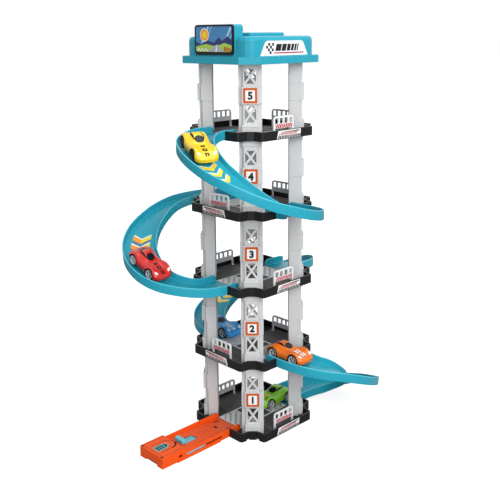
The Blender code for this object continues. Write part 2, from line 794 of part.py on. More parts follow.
def rail_mesh():
    """Railing in the X and Z plane: feet, a plain panel, and windows under a round-cornered bar."""
    foot = RAIL_HALF + RAIL_FOOT
    inner = RAIL_HALF - RAIL_BAR
    flare = RAIL_FOOT
    corner_height = RAIL_HEIGHT - RAIL_CORNER
    outline = [(inner, 0.0), (foot, 0.0), (RAIL_HALF, flare)]
    outline += arc((RAIL_HALF - RAIL_CORNER, corner_height), RAIL_CORNER, 0.0, 90.0, RAIL_CORNER_STEPS)
    outline += arc((-RAIL_HALF + RAIL_CORNER, corner_height), RAIL_CORNER, 90.0, 180.0, RAIL_CORNER_STEPS)
    outline += [(-RAIL_HALF, flare), (-foot, 0.0), (-inner, 0.0)]
    outline += [(-inner, RAIL_PANEL_LOW), (inner, RAIL_PANEL_LOW)]
    window = (2 * inner - (RAIL_WINDOWS - 1) * RAIL_BAR) / RAIL_WINDOWS
    windows = []
    for index in range(RAIL_WINDOWS):
        left = -inner + index * (window + RAIL_BAR)
        right = left + window
        top = RAIL_HEIGHT - RAIL_BAR
        windows.append([(left, RAIL_PANEL_HIGH), (right, RAIL_PANEL_HIGH), (right, top), (left, top)])
    thickness = RAIL_THICKNESS / 2
    rail = prism("rail", [outline] + windows, -thickness, thickness, axis="Y", collection=PARTS)
    rail.matrix_world = Matrix.Translation((RAIL_PLANE, 0.0, DECK_TOP + FIT_GAP)) @ turned(90.0)
    bpy.context.view_layer.update()
    return baked(rail)


def octagon(half, corner):
    """Square about the tower's axis with its corners cut off at 45 degrees."""
    points = []
    for quarter in range(4):
        turn = turned(90.0 * quarter)
        for x, y in ((half, half - corner), (half - corner, half)):
            points.append((turn @ Vector((x, y, 0.0))).xy[:])
    return points


ROOF_BOTTOM = FLOORS * FLOOR_PITCH - BRIM_OVERLAP
BRIM_TOP = ROOF_BOTTOM + BRIM_HEIGHT
ROOF_TOP = BRIM_TOP + ROOF_RISE
ROOF_SEAT = FLOORS * FLOOR_PITCH


def build_roof():
    """Roof cap with its brim, raised plate and screen housing, and the screen in front of it."""
    brim_edge = octagon(BRIM_HALF, BRIM_CHAMFER)
    roof = prism("roof_cap", [brim_edge], ROOF_BOTTOM, BRIM_TOP, collection=PARTS)
    square = rounded_rectangle(ROOF_HALF, -ROOF_HALF, ROOF_HALF, ROOF_CORNER, ROOF_CORNER_STEPS)
    body = prism("body", [square], ROOF_BOTTOM - ROOF_EDGE + BRIM_HEIGHT, ROOF_TOP)
    body = bevelled(body, ROOF_EDGE, EDGE_STEPS, angle=ROOF_BEVEL_ANGLE)
    plate_low = (-PLATE_HALF, -PLATE_HALF, ROOF_TOP - PLATE_EDGE)
    plate = box("plate", plate_low, (PLATE_HALF, PLATE_HALF, ROOF_TOP + PLATE_RISE))
    plate = bevelled(plate, PLATE_EDGE, EDGE_STEPS)
    high = ROOF_TOP + HOUSING_RISE
    steps = ROOF_CORNER_STEPS
    housing_outline = rounded_rectangle(HOUSING_HALF, BRIM_TOP, high, SCREEN_CORNER, steps, round_low=False)
    housing_back = -HOUSING_FRONT + HOUSING_DEPTH
    housing = prism("housing", [housing_outline], -HOUSING_FRONT, housing_back, axis="Y")
    boolean(roof, [body, plate, housing], "UNION")
    inner_chamfer = BRIM_CHAMFER - BRIM_WALL * (2 - math.sqrt(2))
    recess_edge = octagon(BRIM_HALF - BRIM_WALL, inner_chamfer)
    recess = prism("recess", [recess_edge], ROOF_BOTTOM - BRIM_HEIGHT, ROOF_SEAT)
    cavity_edge = octagon(ROOF_CAVITY_HALF, ROOF_CAVITY_CORNER)
    cavity = prism("cavity", [cavity_edge], ROOF_BOTTOM, ROOF_TOP - ROOF_SKIN)
    boolean(roof, [recess, cavity])
    finished(baked(roof), TEAL, SMOOTH_ANGLE)
    front = -HOUSING_FRONT - FIT_GAP
    screen_half = HOUSING_HALF - SCREEN_MARGIN
    screen_high = high - SCREEN_MARGIN
    screen_low = screen_high - SCREEN_HEIGHT
    screen_outline = rounded_rectangle(screen_half, screen_low, screen_high, SCREEN_CORNER, steps)
    screen = prism("roof_screen", [screen_outline], front - SCREEN_THICKNESS, front, axis="Y", collection=PARTS)
    finished(screen, SCREEN, SMOOTH_ANGLE)


def lane_outline(raised):
    """Side view of the launcher's lane surface, from the head to the tongue's end, raised by an amount."""
    return [
        (-LAUNCHER_REACH + HEAD_LENGTH, LANE_AT_HEAD + raised),
        (-LANE_BEND, LANE_AT_BEND + raised),
        (-(TRAY_HALF - TONGUE_LENGTH), LANE_AT_END + raised),
    ]


def build_launcher_housing():
    """Launcher's body: a head and a sloping lane between side walls, hollow below."""
    end = -(TRAY_HALF - TONGUE_LENGTH)
    face = -TRAY_HALF - FIT_GAP
    head = -LAUNCHER_REACH + HEAD_LENGTH
    side = [
        (-LAUNCHER_REACH, 0.0),
        (face, 0.0),
        (face, BED_LOW),
        (end, BED_LOW),
        (end, LAUNCHER_SIDE_HEIGHT - TONGUE_ROUND / 2),
        (end - TONGUE_ROUND / 2, LAUNCHER_SIDE_HEIGHT),
        (head, LAUNCHER_SIDE_HEIGHT),
        (head, HEAD_HEIGHT),
        (-LAUNCHER_REACH, HEAD_HEIGHT),
    ]
    housing = prism("launcher_housing", [side], -LAUNCHER_HALF, LAUNCHER_HALF, axis="X", collection=PARTS)
    skirts = []
    for direction in (-1, 1):
        inside = direction * (LAUNCHER_HALF - LAUNCHER_WALL / 2)
        ends = sorted((inside, direction * (LAUNCHER_HALF + SKIRT_PROUD)))
        skirts.append(box("skirt", (ends[0], -SKIRT_FAR, 0.0), (ends[1], -SKIRT_NEAR, SIDE_SLOT_LOW)))
    boolean(housing, [merged("skirts", skirts)], "UNION")
    inner = LAUNCHER_HALF - LAUNCHER_WALL
    lane = lane_outline(0.0) + [(0.0, LANE_AT_END), (0.0, 2 * HEAD_HEIGHT), (head, 2 * HEAD_HEIGHT)]
    lane_cut = prism("lane", [lane], -inner, inner, axis="X")
    roof_line = lane_outline(-LANE_THICKNESS)
    wall = face - LAUNCHER_WALL
    share = (wall + LANE_BEND) / (end + LANE_BEND)
    wall_level = LANE_AT_BEND + share * (LANE_AT_END - LANE_AT_BEND) - LANE_THICKNESS
    under = [
        (-LAUNCHER_REACH + LAUNCHER_WALL, -FIT_GAP * 4),
        (wall, -FIT_GAP * 4),
        (wall, wall_level),
        roof_line[1],
        (head - LAUNCHER_WALL, roof_line[0][1]),
        (head - LAUNCHER_WALL, HEAD_HEIGHT - LAUNCHER_WALL),
        (-LAUNCHER_REACH + LAUNCHER_WALL, HEAD_HEIGHT - LAUNCHER_WALL),
    ]
    under_cut = prism("under", [under], -inner, inner, axis="X")
    arch_low = (-END_ARCH_HALF, -LAUNCHER_REACH - LAUNCHER_WALL, -END_ARCH_HEIGHT)
    arch = box("arch", arch_low, (END_ARCH_HALF, -LAUNCHER_REACH + 2 * LAUNCHER_WALL, END_ARCH_HEIGHT))
    window_low = (-KNOB_WINDOW_HALF, -KNOB_WINDOW_FAR, LANE_AT_BEND - 3 * LANE_THICKNESS)
    window = box("window", window_low, (KNOB_WINDOW_HALF, -KNOB_WINDOW_NEAR, 2 * LANE_AT_HEAD))
    through = LAUNCHER_HALF + 2 * SKIRT_PROUD
    slot_low = (-through, -SIDE_SLOT_FAR, SIDE_SLOT_LOW)
    slot = box("slot", slot_low, (through, -SIDE_SLOT_NEAR, SIDE_SLOT_HIGH))
    hole_low = (-through, -SIDE_HOLE_PLACE - SIDE_HOLE_LENGTH / 2, SIDE_HOLE_LEVEL - SIDE_HOLE_HEIGHT / 2)
    hole_high = (through, -SIDE_HOLE_PLACE + SIDE_HOLE_LENGTH / 2, SIDE_HOLE_LEVEL + SIDE_HOLE_HEIGHT / 2)
    hole = box("hole", hole_low, hole_high)
    pins = []
    pin_half = PIN_HOLE_SIZE / 2
    pin_low = (-pin_half, -PIN_HOLE_PLACE - pin_half, LANE_AT_END - LANE_THICKNESS)
    pins.append(box("pin", pin_low, (pin_half, -PIN_HOLE_PLACE + pin_half, 2 * LANE_AT_HEAD)))
    for direction in (-1, 1):
        across = direction * LANE_SLOT_OFFSET
        low = (across - LANE_SLOT_WIDTH / 2, -LANE_SLOT_FAR, 0.0)
        pins.append(box("pin", low, (across + LANE_SLOT_WIDTH / 2, -LANE_SLOT_NEAR, 2 * LANE_AT_HEAD)))
    side_cuts = merged("side cuts", [slot, hole])
    boolean(housing, [lane_cut, under_cut, arch, window, side_cuts, merged("pins", pins)])
    finished(baked(housing), ORANGE, SMOOTH_ANGLE)


def build_launcher_slider():
    """Slider: a plate under the lane, side lugs in the slots, and a knob on a stem above."""
    lug_high = SIDE_SLOT_HIGH - FIT_GAP / 2
    lug_low = SIDE_SLOT_LOW + FIT_GAP / 2
    inner = LAUNCHER_HALF - LAUNCHER_WALL - FIT_GAP
    plate_low = (-inner, -SLIDER_FAR, lug_low - SLIDER_DROP)
    slider = box("launcher_slider", plate_low, (inner, -SLIDER_NEAR, lug_high), PARTS)
    lugs = box("lugs", (-LAUNCHER_HALF, -SLIDER_FAR, lug_low), (LAUNCHER_HALF, -SLIDER_LUG_NEAR, lug_high))
    stem_half = KNOB_WINDOW_HALF - 2 * FIT_GAP
    stem_far = -KNOB_WINDOW_FAR + FIT_GAP
    knob_low_level = LANE_AT_HEAD + FIT_GAP
    stem_high = (stem_half, stem_far + STEM_DEPTH, knob_low_level + FIT_GAP)
    stem = box("stem", (-stem_half, stem_far, lug_low), stem_high)
    knob_middle = stem_far + STEM_DEPTH / 2
    knob_low = (-KNOB_HALF, knob_middle - KNOB_DEPTH / 2, knob_low_level)
    knob = box("knob", knob_low, (KNOB_HALF, knob_middle + KNOB_DEPTH / 2, KNOB_TOP))
    knob = bevelled(knob, KNOB_EDGE, EDGE_STEPS)
    boolean(slider, [lugs, stem, knob], "UNION")
    finished(baked(slider), SLIDER_BLUE)


def build_launcher_spring():
    """Pull spring in the head, from the head's end wall to the slider's plate."""
    clear = SPRING_WIRE + FIT_GAP
    start = -LAUNCHER_REACH + LAUNCHER_WALL + clear
    end = -SLIDER_FAR - clear
    count = SPRING_TURNS * SPRING_TURN_STEPS
    curve = bpy.data.curves.new("launcher_spring", "CURVE")
    curve.dimensions = "3D"
    curve.bevel_depth = SPRING_WIRE
    curve.bevel_resolution = 0
    curve.use_fill_caps = True
    spline = curve.splines.new("POLY")
    spline.points.add(count)
    for index, point in enumerate(spline.points):
        angle = 2 * math.pi * index / SPRING_TURN_STEPS
        place = start + (end - start) * index / count
        across = SPRING_RADIUS * math.cos(angle)
        point.co = (across, place, SPRING_LEVEL + SPRING_RADIUS * math.sin(angle), 1.0)
    coil = bpy.data.objects.new("launcher_spring", curve)
    bpy.context.scene.collection.objects.link(coil)
    mesh = evaluated_mesh(coil)
    bpy.data.objects.remove(coil, do_unlink=True)
    finished(mesh_object("launcher_spring", mesh), STEEL, WIRE_SMOOTH_ANGLE)


def car_body_mesh():
    """Car body, nose at +X on level ground: a shell, a cabin, wheel wells and axle bores."""
    nose = CAR_HALF_LENGTH
    low = CAR_UNDERSIDE
    deck = CAR_HEIGHT * CAR_DECK_RATIO
    body = prism("car", [car_plan()], low, deck + CAR_HAUNCH, collection=PARTS)
    profile = [
        (-nose - FIT_GAP, low - FIT_GAP),
        (nose - BUMPER_TUCK, low - FIT_GAP),
        (nose + FIT_GAP, low + BUMPER_RISE),
        (nose - HOOD_FRONT_BACK, deck - HOOD_FRONT_DROP),
        (nose - HOOD_MIDDLE_BACK, deck - HOOD_MIDDLE_DROP),
        (HOOD_REAR, deck),
        (-nose + TAIL_LENGTH, deck + CAR_HAUNCH),
        (-nose - FIT_GAP, deck - TAIL_DROP),
    ]
    side = prism("side", [profile], -2 * CAR_HALF_WIDTH, 2 * CAR_HALF_WIDTH, axis="Y")
    boolean(body, [side], "INTERSECT")
    cabin_outline = [
        (-CABIN_BACK, deck - CABIN_SINK),
        (CABIN_FRONT, deck - CABIN_SINK),
        (CABIN_ROOF_FRONT, CAR_HEIGHT),
        (-CABIN_ROOF_BACK, CAR_HEIGHT),
    ]
    cabin = prism("cabin", [cabin_outline], -CABIN_HALF_WIDTH, CABIN_HALF_WIDTH, axis="Y")
    for vertex in cabin.data.vertices:
        if vertex.co.z > deck:
            vertex.co.y *= CABIN_ROOF_RATIO
    boolean(body, [cabin], "UNION")
    wells = []
    bores = []
    for along in (-WHEELBASE / 2, WHEELBASE / 2):
        bore = AXLE_RADIUS + AXLE_BORE_GAP
        bores.append(cylinder("bore", bore, AXLE_BORE_SIDES, 2 * CAR_HALF_WIDTH, (along, 0.0)))
        for side in (-1, 1):
            inner = WHEEL_OUTER - WHEEL_WIDTH - WHEEL_WELL_GAP
            depth = CAR_HALF_WIDTH - inner + WHEEL_WIDTH
            place = (along, side * (inner + depth / 2))
            wells.append(cylinder("well", WHEEL_RADIUS + WHEEL_WELL_GAP, WHEEL_SIDES, depth, place))
    bpy.context.view_layer.update()
    boolean(body, [merged("wells", wells), merged("bores", bores)])
    return baked(body)


def car_plan():
    """Plan of a car: full width at the wheels, a little narrower between, and drawn in at both ends."""
    half = [(along * CAR_HALF_LENGTH, across * CAR_HALF_WIDTH) for along, across in CAR_PLAN_SHARES]
    return [(along, -across) for along, across in half][::-1] + half


def cylinder(name, radius, sides, length, place):
    """Cylinder across the car at axle height, at a place along and across it."""
    shape = bmesh.new()
    bmesh.ops.create_cone(
        shape, cap_ends=True, segments=sides, radius1=radius, radius2=radius, depth=length
    )
    mesh = bpy.data.meshes.new(name)
    shape.to_mesh(mesh)
    shape.free()
    upright = Matrix.Rotation(QUARTER, 4, "X")
    mesh.transform(Matrix.Translation((place[0], place[1], WHEEL_RADIUS)) @ upright)
    return mesh_object(name, mesh, CUTTERS)


def wheel_set_mesh():
    """Two wheels on their axle, turned about the Y axis through the origin."""
    inner = WHEEL_OUTER - WHEEL_WIDTH
    profile = [
        (0.0, WHEEL_OUTER),
        (WHEEL_RADIUS, WHEEL_OUTER),
        (WHEEL_RADIUS, inner),
        (AXLE_RADIUS, inner),
        (AXLE_RADIUS, -inner),
        (WHEEL_RADIUS, -inner),
        (WHEEL_RADIUS, -WHEEL_OUTER),
        (0.0, -WHEEL_OUTER),
    ]
    mesh = bpy.data.meshes.new("wheel set")
    corners = [(radius, 0.0, height) for radius, height in profile]
    edges = [(index, index + 1) for index in range(len(profile) - 1)]
    mesh.from_pydata(corners, edges, [])
    wheels = mesh_object("wheel set", mesh)
    screw = wheels.modifiers.new("Screw", "SCREW")
    screw.steps = WHEEL_SIDES
    screw.render_steps = WHEEL_SIDES
    screw.use_merge_vertices = True
    screw.merge_threshold = SCREW_WELD
    wheels.matrix_world = Matrix.Rotation(-QUARTER, 4, "X")
    bpy.context.view_layer.update()
    return baked(wheels)


def floor_height(place, ramp_base, near):
    """Height of the surface that a wheel rolls on, at a place close to a distance along a ramp."""
    reach = 2 * WHEELBASE
    best = None
    for index in range(SEARCH_STEPS + 1):
        distance = near - reach + 2 * reach * index / SEARCH_STEPS
        centre, heading = track_point(distance)
        offset = place - centre
        if best is None or offset.length < best[0]:
            best = (offset.length, distance, offset.dot(Vector((math.sin(heading), -math.cos(heading)))))
    _, distance, across = best
    drop, bank = track_section(distance)
    on_track = -TONGUE_LENGTH - FIT_GAP <= distance <= RAMP_RUN + TONGUE_LENGTH + FIT_GAP
    surface = BED_TOP if on_track else DECK_TOP
    return ramp_base - drop + surface + across * math.sin(bank)


def car_matrix(ramp, distance, aside, turn):
    """Place of a car that stands on a ramp and faces down it, from the heights under its wheels."""
    base = floor_level(FLOORS - ramp)
    front, _ = track_point(distance + WHEELBASE / 2)
    rear, _ = track_point(distance - WHEELBASE / 2)
    chord = (front - rear).normalized()
    middle = (front + rear) / 2 + aside * Vector((chord.y, -chord.x))
    ahead = (turned(turn) @ chord.to_3d()).xy
    leftward = Vector((-ahead.y, ahead.x))
    half_base = WHEELBASE / 2
    half_track = WHEEL_OUTER - WHEEL_WIDTH / 2
    heights = {}
    for fore in (-1, 1):
        for side in (-1, 1):
            for edge in (-1, 0, 1):
                across = side * half_track + edge * WHEEL_WIDTH / 2
                place = middle + fore * half_base * ahead + across * leftward
                heights[fore, side, edge] = floor_height(place, base, distance)
    front_mean = (heights[1, 1, 0] + heights[1, -1, 0]) / 2
    rear_mean = (heights[-1, 1, 0] + heights[-1, -1, 0]) / 2
    left_mean = (heights[1, 1, 0] + heights[-1, 1, 0]) / 2
    right_mean = (heights[1, -1, 0] + heights[-1, -1, 0]) / 2
    climb = (front_mean - rear_mean) / WHEELBASE
    lean = (left_mean - right_mean) / (2 * half_track)
    mean = (front_mean + rear_mean) / 2
    lift = 0.0
    for (fore, side, edge), height in heights.items():
        across = side * half_track + edge * WHEEL_WIDTH / 2
        plane = mean + climb * fore * half_base + lean * across
        lift = max(lift, height - plane)
    x_axis = Vector((ahead.x, ahead.y, climb)).normalized()
    y_axis = Vector((leftward.x, leftward.y, lean))
    y_axis = (y_axis - y_axis.dot(x_axis) * x_axis).normalized()
    z_axis = x_axis.cross(y_axis)
    origin = Vector((middle.x, middle.y, mean + lift)) + z_axis * CAR_GROUND_GAP
    local = Matrix((x_axis, y_axis, z_axis)).transposed().to_4x4()
    return turned(RAMP_TURNS[ramp]) @ (Matrix.Translation(origin) @ local)


def build_trays():
    """One tray for each floor."""
    for floor in range(1, FLOORS + 1):
        tray = tray_mesh(floor)
        tray.name = f"tray_{floor}"
        tray.location = (0.0, 0.0, floor_level(floor))
        finished(tray, BLACK, SMOOTH_ANGLE)


def build_columns():
    """Four columns on each floor, all of one mesh."""
    source = column_mesh()
    mesh = source.data
    bpy.data.objects.remove(source, do_unlink=True)
    placements = []
    for floor in range(1, FLOORS + 1):
        for corner, angle in CORNERS.items():
            placements.append((f"column_{floor}_{corner}", placed(floor, angle)))
    copies(mesh, placements, PALE_GREY)


def build_ramps():
    """Four ramps of one mesh, each a quarter turn on from the one above."""
    source = ramp_mesh()
    mesh = source.data
    bpy.data.objects.remove(source, do_unlink=True)
    placements = []
    for index, angle in enumerate(RAMP_TURNS):
        floor = FLOORS - index
        placements.append((f"ramp_{floor}_to_{floor - 1}", placed(floor, angle)))
    copies(mesh, placements, TEAL, RAMP_SMOOTH_ANGLE)


def build_rails():
    """Railings on the tray sides that no track uses: one white on each floor, and grey elsewhere."""
    source = rail_mesh()
    white_mesh = source.data
    bpy.data.objects.remove(source, do_unlink=True)
    grey_mesh = white_mesh.copy()
    for mesh, sides, finish in ((white_mesh, WHITE_RAILS, WHITE), (grey_mesh, GREY_RAILS, RAIL_GREY)):
        placements = []
        for floor, faces in sides.items():
            for face in faces:
                placements.append((f"rail_{floor}_{face}", placed(floor, FACES[face])))
        copies(mesh, placements, finish)


def build_cars():
    """Five cars, each a body with two turning wheel sets as its children."""
    body_source = car_body_mesh()
    wheel_source = wheel_set_mesh()
    wheel_mesh = wheel_source.data
    finished(wheel_source, TYRE, WHEEL_SMOOTH_ANGLE)
    for name, ramp, share, beyond, aside, turn, colour in CARS:
        body = mesh_object(f"car_{name}_body", body_source.data.copy())
        body.matrix_world = car_matrix(ramp, share * RAMP_RUN + beyond, aside, turn)
        finished(body, (f"car_{name}", colour, PAINT_ROUGHNESS, PAINT_METALLIC), SMOOTH_ANGLE)
        for end, side in (("front", 1), ("rear", -1)):
            wheels = mesh_object(f"car_{name}_{end}_wheels", wheel_mesh)
            wheels.parent = body
            wheels.location = (side * WHEELBASE / 2, 0.0, WHEEL_RADIUS)
    for source in (body_source, wheel_source):
        bpy.data.objects.remove(source, do_unlink=True)


build_trays()
build_columns()
build_ramps()
build_rails()
build_roof()
build_launcher_housing()
build_launcher_slider()
build_launcher_spring()
build_cars()
bpy.context.view_layer.update()
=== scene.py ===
"""Toy parking tower: printed sheets, plates, trims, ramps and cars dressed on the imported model."""

import json
import logging
import math
from collections.abc import Callable, Sequence
from dataclasses import dataclass, field
from enum import Enum
from functools import cache

import bmesh
import bpy
from mathutils import Matrix, Vector
from mathutils.bvhtree import BVHTree


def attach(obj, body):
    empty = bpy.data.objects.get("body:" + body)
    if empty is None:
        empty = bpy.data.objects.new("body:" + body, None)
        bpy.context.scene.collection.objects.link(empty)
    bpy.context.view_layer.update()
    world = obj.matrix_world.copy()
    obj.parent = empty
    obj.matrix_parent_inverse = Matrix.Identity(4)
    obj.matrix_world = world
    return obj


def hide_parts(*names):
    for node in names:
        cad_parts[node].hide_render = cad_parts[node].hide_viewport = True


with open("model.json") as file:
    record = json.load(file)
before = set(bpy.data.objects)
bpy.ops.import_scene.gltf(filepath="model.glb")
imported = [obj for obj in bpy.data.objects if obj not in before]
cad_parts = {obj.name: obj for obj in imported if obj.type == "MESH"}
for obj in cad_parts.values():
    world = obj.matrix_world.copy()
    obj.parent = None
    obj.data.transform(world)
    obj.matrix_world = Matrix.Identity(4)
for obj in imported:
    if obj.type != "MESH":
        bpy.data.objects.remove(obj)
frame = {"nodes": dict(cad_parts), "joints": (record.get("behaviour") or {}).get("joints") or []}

log = logging.getLogger("tower")
Point = tuple[float, float]
Outline = Sequence[Point]
Colour = tuple[float, float, float]
Surface = Callable[[float, float], tuple[float, float, float]]


class Side(Enum):
    """The tray's four sides and the angle of each one's outward direction, in degrees."""

    FRONT = -90.0
    RIGHT = 0.0
    REAR = 90.0
    LEFT = 180.0


class Corner(Enum):
    """The tray's four corners and the angle of each one's outward direction, in degrees."""

    FRONT = -45.0
    RIGHT = 45.0
    REAR = 135.0
    LEFT = 225.0


def turned(angle: float) -> Matrix:
    """Rotation about the tower's axis, for an angle in degrees."""
    return Matrix.Rotation(math.radians(angle), 4, "Z")


def raised(height: float) -> Matrix:
    """Move straight up."""
    return Matrix.Translation((0.0, 0.0, height))


def wall_frame(angle: float, out: float, up: float) -> Matrix:
    """Frame on an upright wall.

    Args:
        angle: direction that the wall faces, in degrees.
        out: distance of the wall from the tower's axis.
        up: height of the frame's origin.

    Returns:
        Matrix whose X runs to the right for someone who looks at the wall, Y up and Z outwards.
    """
    rise = Matrix(((0, 0, 1, 0), (1, 0, 0, 0), (0, 1, 0, 0), (0, 0, 0, 1)))
    return raised(up) @ turned(angle) @ Matrix.Translation((out, 0.0, 0.0)) @ rise


def mouth_frame(side: Side, up: float) -> Matrix:
    """Frame on a deck in which the side's outward direction is -Y, as it is at the front."""
    return raised(up) @ turned(side.value + 90.0)


def arc(centre: Point, radius: float, start: float, end: float, steps: int) -> Outline:
    """Points on an arc from one angle to another, in degrees."""
    turns = [math.radians(start + (end - start) * step / steps) for step in range(steps + 1)]
    return [(centre[0] + radius * math.cos(turn), centre[1] + radius * math.sin(turn)) for turn in turns]


def disc(middle: Point, radius: float, corners: int = 12) -> Outline:
    """Corners of a disc, anticlockwise."""
    return arc(middle, radius, 0.0, 360.0 - 360.0 / corners, corners - 1)


def rectangle(left: float, low: float, right: float, high: float) -> Outline:
    """Corners of a rectangle, anticlockwise."""
    return [(left, low), (right, low), (right, high), (left, high)]


def beside(sign: int, near: float, far: float, low: float, high: float) -> Outline:
    """Rectangle on one side of the middle line: on the right for 1 and on the left for -1."""
    left, right = sorted((sign * near, sign * far))
    return rectangle(left, low, right, high)


def slanted(left: float, low: float, width: float, high: float, lean: float) -> Outline:
    """Bar whose upper edge lies further to the right by a lean, anticlockwise."""
    return [(left, low), (left + width, low), (left + width + lean, high), (left + lean, high)]


def rounded(left: float, low: float, right: float, high: float, radius: float) -> Outline:
    """Rectangle with round corners, anticlockwise.

    Args:
        left: left edge.
        low: lower edge.
        right: right edge.
        high: upper edge.
        radius: radius of the corners.

    Returns:
        The outline.
    """
    left, low, right, high = left + radius, low + radius, right - radius, high - radius
    points = []
    for start, centre in zip((-90.0, 0.0, 90.0, 180.0), ((right, low), (right, high), (left, high), (left, low))):
        points += arc(centre, radius, start, start + 90.0, 5)
    return points


def within(outline: Outline, border: Outline) -> Outline:
    """The part of an outline inside a convex border, both anticlockwise.

    Args:
        outline: what is trimmed.
        border: the convex border.

    Returns:
        The outline that is left; it has no points where nothing is.
    """
    for first, second in zip(border, border[1:] + border[:1]):
        edge = (second[0] - first[0], second[1] - first[1])
        depths = [edge[0] * (y - first[1]) - edge[1] * (x - first[0]) for x, y in outline]
        kept = []
        for index, here in enumerate(outline):
            before, was, now = outline[index - 1], depths[index - 1], depths[index]
            if (was >= 0.0) != (now >= 0.0):
                part = was / (was - now)
                kept.append((before[0] + (here[0] - before[0]) * part, before[1] + (here[1] - before[1]) * part))
            if now >= 0.0:
                kept.append(here)
        outline = kept
        if not outline:
            break
    return outline


def bump(at: float, middle: float, width: float) -> float:
    """Smooth hill of height 1 about a middle."""
    return math.exp(-(((at - middle) / width) ** 2))


def stepped_value(knots: Outline, at: float) -> float:
    """Value at a place on a curve through (place, value) knots that is level at each knot.

    Args:
        knots: the knots in rising order.
        at: the place.

    Returns:
        The value; beyond the ends it is that of the nearest knot.
    """
    if at <= knots[0][0]:
        return knots[0][1]
    for (x0, y0), (x1, y1) in zip(knots, knots[1:]):
        if at <= x1:
            part = (at - x0) / (x1 - x0)
            return y0 + (y1 - y0) * part * part * (3 - 2 * part)
    return knots[-1][1]


def flowing_value(knots: Outline, at: float) -> float:
    """Value at a place on a curve that flows through (place, value) knots and is level at both ends.

    Args:
        knots: the knots in rising order.
        at: the place.

    Returns:
        The value; beyond the ends it is that of the nearest knot.
    """
    slopes = [0.0]
    for before, here, after in zip(knots, knots[1:], knots[2:]):
        left = (here[1] - before[1]) / (here[0] - before[0])
        right = (after[1] - here[1]) / (after[0] - here[0])
        slopes.append(2 * left * right / (left + right) if left * right > 0 else 0.0)
    slopes.append(0.0)
    at = min(max(at, knots[0][0]), knots[-1][0])
    index = next(index for index, knot in enumerate(knots[1:]) if at <= knot[0])
    start, end = knots[index], knots[index + 1]
    span = end[0] - start[0]
    part = (at - start[0]) / span
    rise = part * part * (3 - 2 * part)
    lean = span * part * (1 - part) * ((1 - part) * slopes[index] - part * slopes[index + 1])
    return start[1] + (end[1] - start[1]) * rise + lean


class Graph:
    """Short way to place and join shader nodes in one tree."""

    def __init__(self, tree: bpy.types.NodeTree) -> None:
        """Work on a tree."""
        self.tree = tree

    def feed(self, node: bpy.types.Node, inputs: dict[str | int, object]) -> bpy.types.Node:
        """Set or join a node's inputs.

        Args:
            node: the node.
            inputs: a value, or the output socket that it comes from, by the input's name or number.

        Returns:
            The same node.
        """
        for key, value in inputs.items():
            if isinstance(value, bpy.types.NodeSocket):
                self.tree.links.new(value, node.inputs[key])
            else:
                node.inputs[key].default_value = value
        return node

    def add(self, kind: str, inputs: dict[str | int, object] | None = None, **settings: object) -> bpy.types.Node:
        """Place a node.

        Args:
            kind: its type, without the start that all shader nodes share.
            inputs: what goes into it, as for feed.
            settings: the node's own properties.

        Returns:
            The new node.
        """
        node = self.tree.nodes.new(f"ShaderNode{kind}")
        for name, value in settings.items():
            setattr(node, name, value)
        return self.feed(node, inputs or {})

    def math(self, operation: str, *values: object, **settings: object) -> bpy.types.NodeSocket:
        """Output of a mathematical node on values or sockets."""
        return self.add("Math", dict(enumerate(values)), operation=operation, **settings).outputs[0]

    def noise(self, vector: bpy.types.NodeSocket, **inputs: object) -> bpy.types.NodeSocket:
        """Output of a noise with capitalised inputs such as Scale and Detail."""
        return self.add("TexNoise", {"Vector": vector, **inputs}).outputs["Fac"]

    def ranged(self, value: bpy.types.NodeSocket, start: float, end: float) -> bpy.types.NodeSocket:
        """A value's share of the way from a start to an end, between 0 and 1."""
        inputs = {"Value": value, "From Min": start, "From Max": end}
        return self.add("MapRange", inputs).outputs["Result"]

    def blend(self, factor: object, first: object, second: object) -> bpy.types.NodeSocket:
        """Mix of two colours."""
        return self.add("Mix", {"Factor": factor, 6: first, 7: second}, data_type="RGBA").outputs[2]

    @classmethod
    def group(cls, name: str, **inputs: object) -> tuple["Graph", dict[str, bpy.types.NodeSocket]]:
        """Start a node group.

        Args:
            name: the group's name.
            inputs: value of each input; a tuple stands for a colour.

        Returns:
            The group's graph, and its inputs as sockets inside it.
        """
        graph = cls(bpy.data.node_groups.new(name, "ShaderNodeTree"))
        for label, value in inputs.items():
            kind = "NodeSocketColor" if isinstance(value, tuple) else "NodeSocketFloat"
            graph.tree.interface.new_socket(name=label, in_out="INPUT", socket_type=kind).default_value = value
        return graph, graph.tree.nodes.new("NodeGroupInput").outputs

    def end(self, label: str, kind: str, result: bpy.types.NodeSocket) -> bpy.types.NodeTree:
        """Give the group its one output, a socket of the kind Float or Color.

        Args:
            label: name of the output.
            kind: kind of its socket.
            result: socket that feeds it.

        Returns:
            The group.
        """
        self.tree.interface.new_socket(name=label, in_out="OUTPUT", socket_type=f"NodeSocket{kind}")
        self.feed(self.tree.nodes.new("NodeGroupOutput"), {label: result})
        return self.tree


